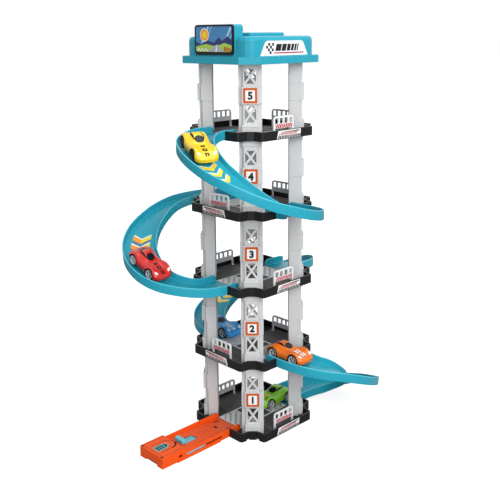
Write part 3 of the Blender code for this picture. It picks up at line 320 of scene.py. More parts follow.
class Effects:
    """Shader node groups that several materials use, each made once."""

    @staticmethod
    @cache
    def grain() -> bpy.types.NodeTree:
        """Height of a moulded surface: a fine spark grain on slow ripples.

        Returns:
            The node group.
        """
        graph, given = Graph.group("Mould grain", Scale=2600.0)
        place = graph.add("TexCoord").outputs["Object"]
        fine = graph.noise(place, Scale=given["Scale"], Detail=3.0)
        slow = graph.noise(place, Scale=55.0)
        mix = graph.add("Mix", {"Factor": 0.45, "A": fine, "B": slow})
        return graph.end("Height", "Float", mix.outputs["Result"])

    @staticmethod
    @cache
    def tone() -> bpy.types.NodeTree:
        """Colour that drifts slowly between a base and a second tone, as in a moulding's flow marks.

        Returns:
            The node group.
        """
        base, second = (0.8, 0.8, 0.8, 1.0), (0.7, 0.7, 0.7, 1.0)
        graph, given = Graph.group("Colour drift", Base=base, Second=second, Scale=38.0, Amount=0.5)
        place = graph.add("TexCoord").outputs["Object"]
        flow = graph.noise(place, Scale=given["Scale"], Detail=4.0, Distortion=0.6)
        share = graph.math("MULTIPLY", flow, given["Amount"])
        return graph.end("Colour", "Color", graph.blend(share, given["Base"], given["Second"]))

    @staticmethod
    @cache
    def edges() -> bpy.types.NodeTree:
        """Mask of worn edges: where a rounded normal leaves the true one, broken up by noise.

        Returns:
            The node group.
        """
        graph, given = Graph.group("Edge wear", Radius=0.0005, Amount=1.0)
        place = graph.add("TexCoord").outputs["Object"]
        true = graph.add("NewGeometry").outputs["True Normal"]
        bevel = graph.add("Bevel", {"Radius": given["Radius"]}, samples=4).outputs["Normal"]
        dot = graph.add("VectorMath", {0: bevel, 1: true}, operation="DOT_PRODUCT").outputs["Value"]
        spots = graph.ranged(graph.noise(place, Scale=420.0, Detail=5.0), 0.38, 0.62)
        both = graph.math("MULTIPLY", graph.ranged(dot, 0.995, 0.80), spots)
        return graph.end("Mask", "Float", graph.math("MULTIPLY", both, given["Amount"]))

    @staticmethod
    @cache
    def dust() -> bpy.types.NodeTree:
        """Mask of settled dust: on faces that look up, in soft patches.

        Returns:
            The node group.
        """
        graph, given = Graph.group("Settled dust", Amount=0.1)
        place = graph.add("TexCoord").outputs["Object"]
        split = graph.add("SeparateXYZ", {0: graph.add("NewGeometry").outputs["Normal"]})
        patches = graph.noise(place, Scale=90.0, Detail=6.0)
        both = graph.math("MULTIPLY", graph.ranged(split.outputs["Z"], 0.6, 1.0), patches)
        return graph.end("Mask", "Float", graph.math("MULTIPLY", both, given["Amount"]))


DUST_COLOUR = (0.62, 0.60, 0.57)
WEAR_SHARE = 0.35
COAT_ROUGHNESS = 0.06
LEAST_ROUGHNESS = 0.03
GRAIN_STRENGTH = 0.35


@dataclass(frozen=True)
class Finish:
    """A procedural finish: a colour that drifts, worn edges, dust, grain and rounded edges.

    The colours are linear. Grain depth and edge radius are in metres.
    """

    name: str
    colour: Colour
    second: Colour
    roughness: float = 0.35
    rough_spread: float = 0.10
    metallic: float = 0.0
    coat: float = 0.0
    drift: float = 0.6
    wear: float = 0.0
    worn: Colour = (0.75, 0.76, 0.78)
    dust: float = 0.0
    grain_scale: float = 2600.0
    grain_depth: float = 0.000009
    edge_radius: float = 0.0
    specular: float = 0.5

    def material(self) -> bpy.types.Material:
        """The finish's material, made the first time that it is asked for.

        Returns:
            The material.
        """
        found = bpy.data.materials.get(self.name)
        if found is not None:
            return found
        material = bpy.data.materials.new(self.name)
        material.use_nodes = True
        material.diffuse_color = (*self.colour, 1.0)
        graph = Graph(material.node_tree)
        inputs = {"Metallic": self.metallic, "Coat Weight": self.coat, "Coat Roughness": COAT_ROUGHNESS}
        inputs |= {"Specular IOR Level": self.specular, "Base Color": self._colour(graph)}
        inputs |= {"Roughness": self._roughness(graph), "Normal": self._normal(graph)}
        graph.feed(graph.tree.nodes["Principled BSDF"], inputs)
        return material

    @staticmethod
    def _effect(graph: Graph, tree: bpy.types.NodeTree, **inputs: object) -> bpy.types.NodeSocket:
        """Output of a shared effect with its inputs set."""
        return graph.add("Group", inputs, node_tree=tree).outputs[0]

    def _colour(self, graph: Graph) -> bpy.types.NodeSocket:
        """Base colour: the drifting tone, then the worn edges, then the dust.

        Args:
            graph: graph of the material.

        Returns:
            Socket that gives the colour.
        """
        base, second = (*self.colour, 1.0), (*self.second, 1.0)
        last = self._effect(graph, Effects.tone(), Base=base, Second=second, Amount=self.drift)
        if self.wear > 0.0:
            amount = self.wear * WEAR_SHARE
            mask = self._effect(graph, Effects.edges(), Radius=self.edge_radius, Amount=amount)
            last = graph.blend(mask, last, (*self.worn, 1.0))
        if self.dust > 0.0:
            mask = self._effect(graph, Effects.dust(), Amount=self.dust)
            last = graph.blend(mask, last, (*DUST_COLOUR, 1.0))
        return last

    def _roughness(self, graph: Graph) -> bpy.types.NodeSocket:
        """Roughness that varies with handling marks.

        Args:
            graph: graph of the material.

        Returns:
            Socket that gives the roughness.
        """
        noise = graph.noise(graph.add("TexCoord").outputs["Object"], Scale=140.0, Detail=5.0, Distortion=0.4)
        least = max(self.roughness - self.rough_spread, LEAST_ROUGHNESS)
        most = self.roughness + self.rough_spread
        return graph.add("MapRange", {"Value": noise, "To Min": least, "To Max": most}).outputs["Result"]

    def _normal(self, graph: Graph) -> bpy.types.NodeSocket:
        """Fine grain on edges that catch the light as if rounded.

        Args:
            graph: graph of the material.

        Returns:
            Socket that gives the normal.
        """
        height = self._effect(graph, Effects.grain(), Scale=self.grain_scale)
        relief = graph.add("Bump", {"Strength": GRAIN_STRENGTH, "Distance": self.grain_depth, "Height": height})
        if self.edge_radius > 0.0:
            bevel = graph.add("Bevel", {"Radius": self.edge_radius}, samples=6)
            graph.feed(relief, {"Normal": bevel.outputs["Normal"]})
        return relief.outputs["Normal"]


def moulded(name: str, colour: Colour, second: Colour, roughness: float, **changes: object) -> Finish:
    """Finish of moulded plastic, with softly rounded edges."""
    return Finish(name, colour, second, roughness, **{"edge_radius": 0.0005, **changes})


def printed(name: str, colour: Colour, second: Colour | None = None, roughness: float = 0.3) -> Finish:
    """Finish of ink on a thin glossy sheet.

    Args:
        name: name of its material.
        colour: colour of the ink.
        second: its second tone, or None for a slightly darker one.
        roughness: its mean roughness.

    Returns:
        The finish.
    """
    darker = tuple(channel * 0.9 for channel in colour)
    return Finish(
        name, colour, second or darker, roughness, rough_spread=0.05, drift=0.5,
        grain_scale=5200.0, grain_depth=0.000006, specular=0.22,
    )


# the tray's lighter worn edges are partly wear and partly a painted highlight along the rims
TRAY = moulded(
    "tray_black", (0.007, 0.007, 0.0075), (0.011, 0.011, 0.0115), 0.34,
    wear=0.30, worn=(0.12, 0.12, 0.13), dust=0.012, specular=0.28,
)
DECK = Finish("deck_grey", (0.070, 0.070, 0.072), (0.088, 0.088, 0.090), 0.50, dust=0.03, specular=0.22)
COLUMN = moulded(
    "column_grey", (0.60, 0.602, 0.608), (0.56, 0.562, 0.568), 0.36,
    wear=0.15, worn=(0.86, 0.87, 0.88), specular=0.26,
)
TRACK = moulded(
    "track_teal", (0.018, 0.315, 0.425), (0.024, 0.340, 0.450), 0.26, edge_radius=0.0006, specular=0.24
)
# painted highlight: a lighter teal on the ramps' top lips, where they catch the light
LIP_HIGHLIGHT = moulded("track_lip_highlight", (0.075, 0.475, 0.590), (0.090, 0.500, 0.620), 0.24, edge_radius=0.0003, specular=0.30)
RAIL_WHITE = moulded(
    "rail_white", (0.84, 0.85, 0.86), (0.78, 0.79, 0.80), 0.30, wear=0.2, dust=0.02, edge_radius=0.0004
)
RAIL_GREY = moulded(
    "rail_grey", (0.62, 0.63, 0.64), (0.57, 0.58, 0.59), 0.32, wear=0.25, dust=0.03, edge_radius=0.0004
)
LAUNCHER = moulded(
    "launcher_orange", (0.86, 0.088, 0.008), (0.90, 0.104, 0.011), 0.34,
    wear=0.12, worn=(0.95, 0.36, 0.14), specular=0.14,
)
SLIDER = moulded(
    "slider_blue", (0.10, 0.50, 0.62), (0.13, 0.56, 0.68), 0.30, wear=0.4, worn=(0.5, 0.85, 0.92), dust=0.02
)
STEEL = Finish("spring_steel", (0.62, 0.62, 0.64), (0.50, 0.50, 0.53), 0.28, metallic=1.0)
BEZEL = moulded(
    "screen_bezel", (0.005, 0.005, 0.006), (0.008, 0.008, 0.009), 0.34,
    wear=0.12, worn=(0.10, 0.10, 0.11), dust=0.004, specular=0.20,
)
TYRE = Finish(
    "tyre_rubber", (0.006, 0.006, 0.006), (0.011, 0.011, 0.011), 0.70,
    dust=0.01, grain_depth=0.00004, specular=0.2,
)
RIM_METAL = moulded(
    "wheel_silver", (0.66, 0.67, 0.69), (0.58, 0.59, 0.62), 0.25, metallic=0.15, edge_radius=0.00015
)
RIM_GRAPHITE = moulded(
    "wheel_graphite", (0.050, 0.050, 0.054), (0.070, 0.070, 0.075), 0.30, metallic=0.15, edge_radius=0.00015
)
HUB_DARK = Finish("wheel_shadow", (0.012, 0.012, 0.013), (0.020, 0.020, 0.022), 0.55, specular=0.2)
CHASSIS = moulded(
    "chassis_black", (0.016, 0.016, 0.017), (0.028, 0.028, 0.030), 0.5, wear=0.2, dust=0.05, edge_radius=0.0003
)
LAMP = Finish("lamp_white", (0.86, 0.88, 0.90), (0.70, 0.73, 0.78), 0.10, coat=0.8)
GLAZING = Finish(
    "dark_glazing", (0.008, 0.009, 0.011), (0.014, 0.016, 0.020), 0.16,
    coat=0.06, grain_depth=0.000004, specular=0.22,
)

WHITE_INK = printed("ink_white", (0.86, 0.87, 0.87))
BLACK_INK = printed("ink_black", (0.010, 0.010, 0.011), (0.018, 0.018, 0.018))
RED_INK = printed("ink_red", (0.52, 0.012, 0.024))
ORANGE_INK = printed("ink_orange", (0.55, 0.092, 0.012))
GREY_INK = printed("ink_grey", (0.44, 0.44, 0.46), (0.38, 0.38, 0.40))
YELLOW_INK = printed("ink_yellow", (0.88, 0.66, 0.04))
GOLD_INK = printed("ink_gold", (0.90, 0.34, 0.02))
SHADE_INK = printed("ink_shade", (0.13, 0.20, 0.29))
SKY_INK = printed("ink_sky", (0.045, 0.19, 0.43), (0.10, 0.33, 0.60), 0.14)
BEAM_INK = printed("ink_beam", (0.36, 0.62, 0.82), (0.26, 0.50, 0.74), 0.14)
NAVY_INK = printed("ink_navy", (0.020, 0.030, 0.14), (0.04, 0.05, 0.20), 0.14)
LEAF_INK = printed("ink_leaf", (0.42, 0.62, 0.08), (0.30, 0.50, 0.08), 0.14)
ARROW_INK = printed("ink_arrow", (0.07, 0.42, 0.43))
CUT_SHADOW = printed("groove_shadow", (0.006, 0.006, 0.006), (0.010, 0.010, 0.010), 0.6)
# painted shade: dark orange lines where the launcher's grooves and moulded arcs fall into shade
GROOVE_SHADE = printed("groove_shade_orange", (0.17, 0.016, 0.004), (0.13, 0.012, 0.003), 0.5)


def linked(name: str, data: bpy.types.ID) -> bpy.types.Object:
    """New object in the scene.

    Args:
        name: its name.
        data: its mesh, curve, camera or lamp.

    Returns:
        The object.
    """
    made = bpy.data.objects.new(name, data)
    bpy.context.scene.collection.objects.link(made)
    return made


def evaluated_mesh(piece: bpy.types.Object) -> bpy.types.Mesh:
    """New mesh of an object as its modifiers or its curve make it."""
    bpy.context.view_layer.update()
    return bpy.data.meshes.new_from_object(piece.evaluated_get(bpy.context.evaluated_depsgraph_get()))


def smoothed(mesh: bpy.types.Mesh, angle: float) -> None:
    """Shade the edges under an angle in degrees smooth."""
    mesh.shade_smooth()
    mesh.set_sharp_from_angle(angle=math.radians(angle))


def face_out(mesh: bpy.types.Mesh, upward: bool = False) -> None:
    """Turn a closed mesh's faces outwards, or a thin open sheet's faces upwards.

    Args:
        mesh: the mesh.
        upward: whether it is an open sheet.
    """
    shape = bmesh.new()
    shape.from_mesh(mesh)
    if upward:
        shape.normal_update()
        bmesh.ops.reverse_faces(shape, faces=[face for face in shape.faces if face.normal.z < 0.0])
    else:
        bmesh.ops.recalc_face_normals(shape, faces=shape.faces)
    shape.to_mesh(mesh)
    shape.free()


def carve(piece: bpy.types.Object, cutter: bpy.types.Object, smooth: float) -> None:
    """Cut one closed object out of another and remove the cutter.

    Args:
        piece: what is cut; it gets the new mesh.
        cutter: what is taken away.
        smooth: angle in degrees under which edges are shaded smooth.
    """
    face_out(piece.data)
    face_out(cutter.data)
    cut = piece.modifiers.new("Cut", "BOOLEAN")
    cut.operation, cut.solver, cut.material_mode, cut.object = "DIFFERENCE", "EXACT", "TRANSFER", cutter
    mesh = evaluated_mesh(piece)
    piece.modifiers.clear()
    piece.data = mesh
    smoothed(mesh, smooth)
    bpy.data.objects.remove(cutter, do_unlink=True)


@dataclass
class Form:
    """Mesh in the making: closed slabs, bands and surfaces, each face with one of several finishes."""

    name: str
    corners: list[Vector] = field(default_factory=list)
    faces: list[tuple[int, ...]] = field(default_factory=list)
    shades: list[int] = field(default_factory=list)
    finishes: list[Finish] = field(default_factory=list)

    def shade(self, finish: Finish) -> int:
        """Index of a finish in this form.

        Args:
            finish: the finish; it is added when it is new.

        Returns:
            The index.
        """
        if finish not in self.finishes:
            self.finishes.append(finish)
        return self.finishes.index(finish)

    def add(self, faces: list[tuple[int, ...]], finish: Finish) -> None:
        """Add faces of one finish."""
        self.faces += faces
        self.shades += [self.shade(finish)] * len(faces)

    def slab(
        self, outline: Outline, low: float, high: float, place: Matrix, finish: Finish, border: Outline | None = None
    ) -> None:
        """Add a flat outline made thick.

        Args:
            outline: corners in the place's X and Y, anticlockwise.
            low: height of the lower face along the place's Z.
            high: height of the upper face.
            place: matrix from the outline's frame to the tower's.
            finish: what it is made of.
            border: convex outline to which it is trimmed; a slab that lies outside is left out.
        """
        if border:
            outline = within(outline, border)
            if len(outline) < 3:
                return
        if place.determinant() < 0.0:
            outline = outline[::-1]
        start, count = len(self.corners), len(outline)
        self.corners += [place @ Vector((x, y, level)) for level in (low, high) for x, y in outline]
        faces = [tuple(range(start + count, start + 2 * count)), tuple(reversed(range(start, start + count)))]
        for index in range(count):
            here, after = start + index, start + (index + 1) % count
            faces.append((here, after, after + count, here + count))
        self.add(faces, finish)

    def ink(self, outline: Outline, place: Matrix, finish: Finish, border: Outline | None = None) -> None:
        """Add a print on a sheet, trimmed to a border if one is given."""
        self.slab(outline, SHEET, PRINT, place, finish, border)

    def grid(self, rows: list[list[Vector]], finish: Finish, closed: bool = False) -> None:
        """Add a surface through rows of points, closed round each row if asked.

        Args:
            rows: the points, as many in each row.
            finish: what it is made of.
            closed: whether each row runs round.
        """
        start, width = len(self.corners), len(rows[0])
        self.corners += [corner for row in rows for corner in row]
        faces = []
        for first in range(start, start + (len(rows) - 1) * width, width):
            for along in range(width if closed else width - 1):
                here, after = first + along, first + (along + 1) % width
                faces.append((here, after, after + width, here + width))
        self.add(faces, finish)

    def caps(self, ring: int, finish: Finish) -> None:
        """Close both ends of a surface whose rows are rings of that many corners."""
        last = range(len(self.corners) - ring, len(self.corners))
        self.add([tuple(range(ring)), tuple(reversed(last))], finish)

    def band(self, path: Outline, width: float, low: float, high: float, place: Matrix, finish: Finish) -> None:
        """Add a strip of one width along a path, as one slab for each stretch.

        Args:
            path: points of its middle line.
            width: its width.
            low: height of the lower face along the place's Z.
            high: height of the upper face.
            place: matrix from the path's frame to the tower's.
            finish: what it is made of.
        """
        overlap = 0.35
        for (x0, y0), (x1, y1) in zip(path, path[1:]):
            along = Vector((x1 - x0, y1 - y0)).normalized() * width / 2
            side = Vector((-along.y, along.x))
            lead = along * overlap
            ends = [(x0 - side.x - lead.x, y0 - side.y - lead.y), (x1 - side.x + lead.x, y1 - side.y + lead.y)]
            ends += [(x1 + side.x + lead.x, y1 + side.y + lead.y), (x0 + side.x - lead.x, y0 + side.y - lead.y)]
            self.slab(ends, low, high, place, finish)

    def build(self, body: str, slot: str = "", smooth: float | None = None) -> bpy.types.Object:
        """Make the object and let it ride.

        Args:
            body: name of the body that it moves with.
            slot: name of its material slot in the library, if it has one; not used.
            smooth: angle in degrees under which edges are shaded smooth, or None for flat faces.

        Returns:
            The new object.
        """
        mesh = bpy.data.meshes.new(self.name)
        mesh.from_pydata([tuple(corner) for corner in self.corners], [], self.faces)
        for finish in self.finishes:
            mesh.materials.append(finish.material())
        mesh.polygons.foreach_set("material_index", self.shades)
        if smooth is not None:
            smoothed(mesh, smooth)
        mesh.update()
        piece = linked(self.name, mesh)
        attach(piece, body)
        log.info("%s: %d faces", self.name, len(self.faces))
        return piece


@dataclass
class TowerSizes:
    """Sizes of the tower that its prints and trims follow, in metres."""

    pitch: float = 0.0905
    tray_half: float = 0.0615
    deck_top: float = 0.0032
    track_half: float = 0.02105
    tongue: float = 0.0185
    sheet: float = 0.00012
    ink: float = 0.00006

    def level(self, floor: int) -> float:
        """Height of the underside of a floor's tray."""
        return (floor - 1) * self.pitch


SIZES = TowerSizes()
SHEET, PRINT, OVERPRINT = SIZES.sheet, SIZES.sheet + SIZES.ink, SIZES.sheet + 2 * SIZES.ink
MOUTHS = {
    5: (Side.FRONT,),
    4: (Side.RIGHT, Side.LEFT),
    3: (Side.FRONT, Side.REAR),
    2: (Side.LEFT, Side.RIGHT),
    1: (Side.REAR, Side.FRONT),
}
WHITE_RAILS = {5: Side.RIGHT, 4: Side.FRONT, 3: Side.RIGHT, 2: Side.FRONT, 1: Side.RIGHT}


@dataclass
class Deck:
    """Printed grey sheet on a tray's floor, with lane lines, hatching at the mouths, and grooves and holes drawn as
    painted shade.
    """

    floor: int
    half: float = 0.0588
    core: float = 0.0225
    tongue_gap: float = 0.0006
    line_out: float = 0.0198
    line_width: float = 0.0022
    lane_end: float = 0.0405
    groove_width: float = 0.0014
    groove_start: Point = (0.0390, 0.0204)
    groove_end: Point = (0.0500, 0.0206)
    panel_line: float = 0.0390
    panel_half: float = 0.0200
    panel_line_width: float = 0.0005
    hole_radius: float = 0.0011
    mouth_hole: Point = (0.0168, -0.0272)
    panel_hole: Point = (0.0309, 0.0132)
    corner_hole: Point = (0.0308, 0.0265)
    hatch_gap: float = 0.0010
    hatch_depth: float = 0.0285
    hatch_border: float = 0.0020
    hatch_pitch: float = 0.0092
    hatch_share: float = 0.34

    def place(self, side: Side) -> Matrix:
        """Frame on the deck for one side."""
        return mouth_frame(side, SIZES.level(self.floor) + SIZES.deck_top)

    def hatch_out(self) -> float:
        """Outer edge of the hatching in the frame of its side."""
        return -(SIZES.tray_half - SIZES.tongue - self.hatch_gap)

    def strip(self, form: Form, side: Side) -> None:
        """Add the grey sheet's part in front of one side, from the middle square outwards.

        Args:
            form: mesh that it is added to.
            side: side of the tray.
        """
        mouth = side in MOUTHS[self.floor]
        outer = SIZES.tray_half - SIZES.tongue - self.tongue_gap if mouth else self.half
        form.slab(rectangle(-self.core, -outer, self.core, -self.core), 0.0, SHEET, self.place(side), DECK)
        for sign in (-1, 1) if mouth else ():
            flank = beside(sign, SIZES.track_half + self.tongue_gap, self.core, -self.half, -outer)
            form.slab(flank, 0.0, SHEET, self.place(side), DECK)

    def lane(self, form: Form) -> None:
        """Add the lane lines along the track's way through the tray, or to the middle where it ends.

        Args:
            form: mesh that it is added to.
        """
        ends_here = len(MOUTHS[self.floor]) == 1
        for side in MOUTHS[self.floor]:
            start, end = self.hatch_out() + self.hatch_depth, self.lane_end if ends_here else 0.0
            for sign in (-1, 1):
                line = beside(sign, self.line_out - self.line_width, self.line_out, start, end)
                form.ink(line, self.place(side), WHITE_INK)
            if ends_here:
                cross = rectangle(-self.line_out, end, self.line_out, end + self.line_width)
                form.ink(cross, self.place(side), WHITE_INK)

    def hatch(self, form: Form, side: Side) -> None:
        """Add the white plate with grey bars and two pin holes, drawn as painted shade, inside a mouth.

        Args:
            form: mesh that it is added to.
            side: side of the tray.
        """
        place, edge, border = self.place(side), self.line_out, self.hatch_border
        outer = self.hatch_out()
        inner = outer + self.hatch_depth
        form.ink(rectangle(-edge, outer, edge, inner), place, WHITE_INK)
        inside = rectangle(-edge + border, outer + border, edge - border, inner - border)
        for step in range(-3, 8):
            bar = slanted(step * self.hatch_pitch, outer, self.hatch_pitch * self.hatch_share, inner, outer - inner)
            form.slab(bar, PRINT, OVERPRINT, place, GREY_INK, inside)
        for sign in (-1, 1):
            hole = disc((sign * self.mouth_hole[0], self.mouth_hole[1]), self.hole_radius)
            form.slab(hole, PRINT, OVERPRINT + SIZES.ink, place, CUT_SHADOW)

    def grooves(self, form: Form) -> None:
        """Add the painted shade of the moulded grooves and small holes beside the lane, alike in all four quarters.

        Args:
            form: mesh that it is added to.
        """
        for angle, side in ((0.0, Side.RIGHT), (90.0, Side.REAR), (180.0, Side.LEFT), (270.0, Side.FRONT)):
            place = raised(SIZES.level(self.floor) + SIZES.deck_top) @ turned(angle)
            if side not in MOUTHS[self.floor]:
                line = [(self.panel_line, -self.panel_half), (self.panel_line, self.panel_half)]
                form.band(line, self.panel_line_width, SHEET, PRINT, place, CUT_SHADOW)
                for sign in (-1, 1):
                    groove = [(x, sign * y) for x, y in (self.groove_start, self.groove_end)]
                    form.band(groove, self.groove_width, SHEET, PRINT, place, CUT_SHADOW)
                    hole = disc((self.panel_hole[0], sign * self.panel_hole[1]), self.hole_radius)
                    form.ink(hole, place, CUT_SHADOW)
            form.ink(disc(self.corner_hole, self.hole_radius), place, CUT_SHADOW)

    def build(self) -> None:
        """Make the deck's sheet and its print."""
        form = Form(f"deck_print_{self.floor}")
        middle = rectangle(-self.core, -self.core, self.core, self.core)
        form.slab(middle, 0.0, SHEET, raised(SIZES.level(self.floor) + SIZES.deck_top), DECK)
        for side in Side:
            self.strip(form, side)
        self.lane(form)
        for side in MOUTHS[self.floor]:
            self.hatch(form, side)
        self.grooves(form)
        form.build("tower", "tray_plastic")


@dataclass
class NumberPlate:
    """Square plate with the floor's number, on the front column's block."""

    floor: int
    out: float = 0.0626
    half: float = 0.0078
    low: float = 0.0417
    high: float = 0.0585
    frame_width: float = 0.0026
    corner: float = 0.0010
    thickness: float = 0.00035
    digit_height: float = 0.0080
    letter_scale: float = 1.42
    boldness: float = 0.00058

    def build(self) -> None:
        """Make the plate and its raised digit."""
        place = wall_frame(Corner.FRONT.value, self.out, SIZES.level(self.floor))
        form = Form(f"number_plate_{self.floor}")
        plate = rounded(-self.half, self.low, self.half, self.high, self.corner)
        form.slab(plate, 0.0, self.thickness, place, ORANGE_INK)
        inner = self.half - self.frame_width
        card = rounded(-inner, self.low + self.frame_width, inner, self.high - self.frame_width, self.corner / 2)
        form.slab(card, self.thickness, self.thickness + SIZES.ink, place, WHITE_INK)
        form.build("tower", "column_plastic")
        self.digit(place)

    def digit(self, place: Matrix) -> None:
        """Make the digit as a thin mesh from Blender's own typeface, thickened a little.

        Args:
            place: frame of the plate.
        """
        curve = bpy.data.curves.new(f"digit_{self.floor}", "FONT")
        curve.body = str(self.floor)
        curve.align_x = curve.align_y = "CENTER"
        curve.size = self.digit_height * self.letter_scale
        curve.offset = self.boldness
        curve.extrude = SIZES.ink
        curve.resolution_u = 4
        carrier = linked(curve.name, curve)
        mesh = evaluated_mesh(carrier)
        bpy.data.objects.remove(carrier, do_unlink=True)
        xs = [vertex.co.x for vertex in mesh.vertices]
        ys = [vertex.co.y for vertex in mesh.vertices]
        centre = Vector(((min(xs) + max(xs)) / 2, (min(ys) + max(ys)) / 2, 0.0))
        middle = Vector((0.0, (self.low + self.high) / 2, self.thickness + 2 * SIZES.ink))
        mesh.transform(place @ Matrix.Translation(middle - centre))
        mesh.materials.clear()
        mesh.materials.append(BLACK_INK.material())
        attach(linked(f"plate_digit_{self.floor}", mesh), "tower")
        log.info("plate_digit_%d: %d faces", self.floor, len(mesh.polygons))


@dataclass
class FootTrim:
    """Raised ledge and fine lines on the feet of a floor's four columns, each from low to high and proud."""

    floor: int
    out: float = 0.0624
    half: float = 0.0092
    ledges: tuple[tuple[float, float, float], ...] = (
        (0.0150, 0.0166, 0.0007), (0.0122, 0.0127, 0.0003), (0.0096, 0.0101, 0.0003), (0.0070, 0.0075, 0.0003),
    )

    def build(self) -> None:
        """Make the ledges of all four columns."""
        form = Form(f"foot_ledges_{self.floor}")
        for corner in Corner:
            place = wall_frame(corner.value, self.out, SIZES.level(self.floor))
            for low, high, proud in self.ledges:
                form.slab(rectangle(-self.half, low, self.half, high), 0.0, proud, place, COLUMN)
        form.build("tower", "column_plastic")


@dataclass
class RailPanel:
    """Red and white hatching on the plain panel of a white railing."""

    floor: int
    plane: float = 0.0528
    half_thickness: float = 0.0009
    half: float = 0.0140
    low: float = 0.0080
    high: float = 0.0132
    stripe_pitch: float = 0.0031
    stripe_share: float = 0.66
    stripe_lean: float = 0.45
    margin: float = 0.0003
    foot: float = 0.0035

    def build(self) -> None:
        """Make the hatched strip on the outer face."""
        side = WHITE_RAILS[self.floor]
        place = wall_frame(side.value, self.plane + self.half_thickness, SIZES.level(self.floor) + self.foot)
        form = Form(f"rail_hatching_{self.floor}")
        form.slab(rectangle(-self.half, self.low, self.half, self.high), 0.0, SIZES.ink, place, WHITE_INK)
        border = rectangle(-self.half, self.low + self.margin, self.half, self.high - self.margin)
        lean = (self.high - self.low) * (self.stripe_lean if side is Side.RIGHT else -self.stripe_lean)
        width = self.stripe_pitch * self.stripe_share
        for step in range(-1, int(2 * self.half / self.stripe_pitch) + 2):
            bar = slanted(-self.half + step * self.stripe_pitch, self.low, width, self.high, lean)
            form.slab(bar, SIZES.ink, 2 * SIZES.ink, place, RED_INK, border)
        form.build("tower", "rail_white")


@dataclass
class RimPrint:
    """White skewed sheet with bold black ticks and a streak of red dashes, on the rim below a white railing."""

    floor: int
    half: float = 0.0196
    low: float = 0.0004
    high: float = 0.0099
    tick_start: float = -0.0184
    tick_pitch: float = 0.0027
    tick_width: float = 0.0019
    tick_height: float = 0.0039
    tick_lean: float = 0.35
    dash_start: float = -0.0136
    dash_end: float = 0.0156
    dash_pitch: float = 0.0021
    dash_share: float = 0.62
    dash_lean: float = 0.0011
    dash_low: float = 0.0049
    dash_high: float = 0.0075

    SHEET_EDGE = ((-0.0196, 0.0016), (-0.0186, 0.0004), (0.0196, 0.0004), (0.0196, 0.0099), (-0.0174, 0.0099))
    WEDGE = ((-0.0126, 0.0078), (0.0176, 0.0076), (0.0176, 0.0090), (-0.0116, 0.0083))
    FLAG = ((-0.0170, 0.0047), (-0.0146, 0.0055), (-0.0138, 0.0079))

    def build(self) -> None:
        """Make the sheet, its ticks, its dashes, the thin wedge above them and a small flag."""
        side = WHITE_RAILS[self.floor]
        place = wall_frame(side.value, SIZES.tray_half, SIZES.level(self.floor))
        if side is Side.FRONT:
            place = place @ Matrix.Diagonal((-1.0, 1.0, 1.0, 1.0))
        form = Form(f"rim_print_{self.floor}")
        form.slab(self.SHEET_EDGE, 0.0, SHEET, place, WHITE_INK)
        border = rectangle(-self.half, self.low, self.half, self.high)
        crown, lean = self.low + self.tick_height, self.tick_height * self.tick_lean
        for step in range(int(2 * self.half / self.tick_pitch)):
            tick = slanted(self.tick_start + step * self.tick_pitch, self.low, self.tick_width, crown, lean)
            form.ink(tick, place, BLACK_INK, border)
        width = self.dash_pitch * self.dash_share
        for step in range(int((self.dash_end - self.dash_start) / self.dash_pitch)):
            left = self.dash_start + step * self.dash_pitch
            dash = slanted(left, self.dash_low, width, self.dash_high, self.dash_lean)
            form.ink(dash, place, RED_INK)
        for outline in (self.WEDGE, self.FLAG):
            form.ink(outline, place, BLACK_INK)
        form.build("tower", "tray_plastic")


@dataclass
class Track:
    """Centre line of the top ramp, from the upper tray's front face round to the lower tray's side."""

    lead: float = 0.0013
    tight: float = 0.0526

    def bends(self) -> tuple[float, ...]:
        """Radii of its three bends."""
        return (self.tight, SIZES.tray_half + self.lead, self.tight)

    def run(self) -> float:
        """Length of the centre line between the two trays' faces."""
        return 2 * self.lead + math.pi / 2 * sum(self.bends())

    def point(self, distance: float, aside: float) -> Vector:
        """Plan position on the top ramp.

        Args:
            distance: how far along the centre line from the upper tray's front face.
            aside: offset from the centre line towards the outer side.

        Returns:
            The position, with height 0.
        """
        place, heading = Vector((0.0, -SIZES.tray_half)), -math.pi / 2
        stretches = [(self.lead, 0.0), *((math.pi / 2 * bend, 1 / bend) for bend in self.bends()), (1.0, 0.0)]
        for length, bend in stretches:
            step = min(distance, length)
            if bend:
                after = heading + bend * step
                place.x += (math.sin(after) - math.sin(heading)) / bend
                place.y += (math.cos(heading) - math.cos(after)) / bend
                heading = after
            else:
                place += step * Vector((math.cos(heading), math.sin(heading)))
            distance -= step
            if distance <= 0.0:
                break
        spot = place + aside * Vector((math.sin(heading), -math.cos(heading)))
        return Vector((spot.x, spot.y, 0.0))


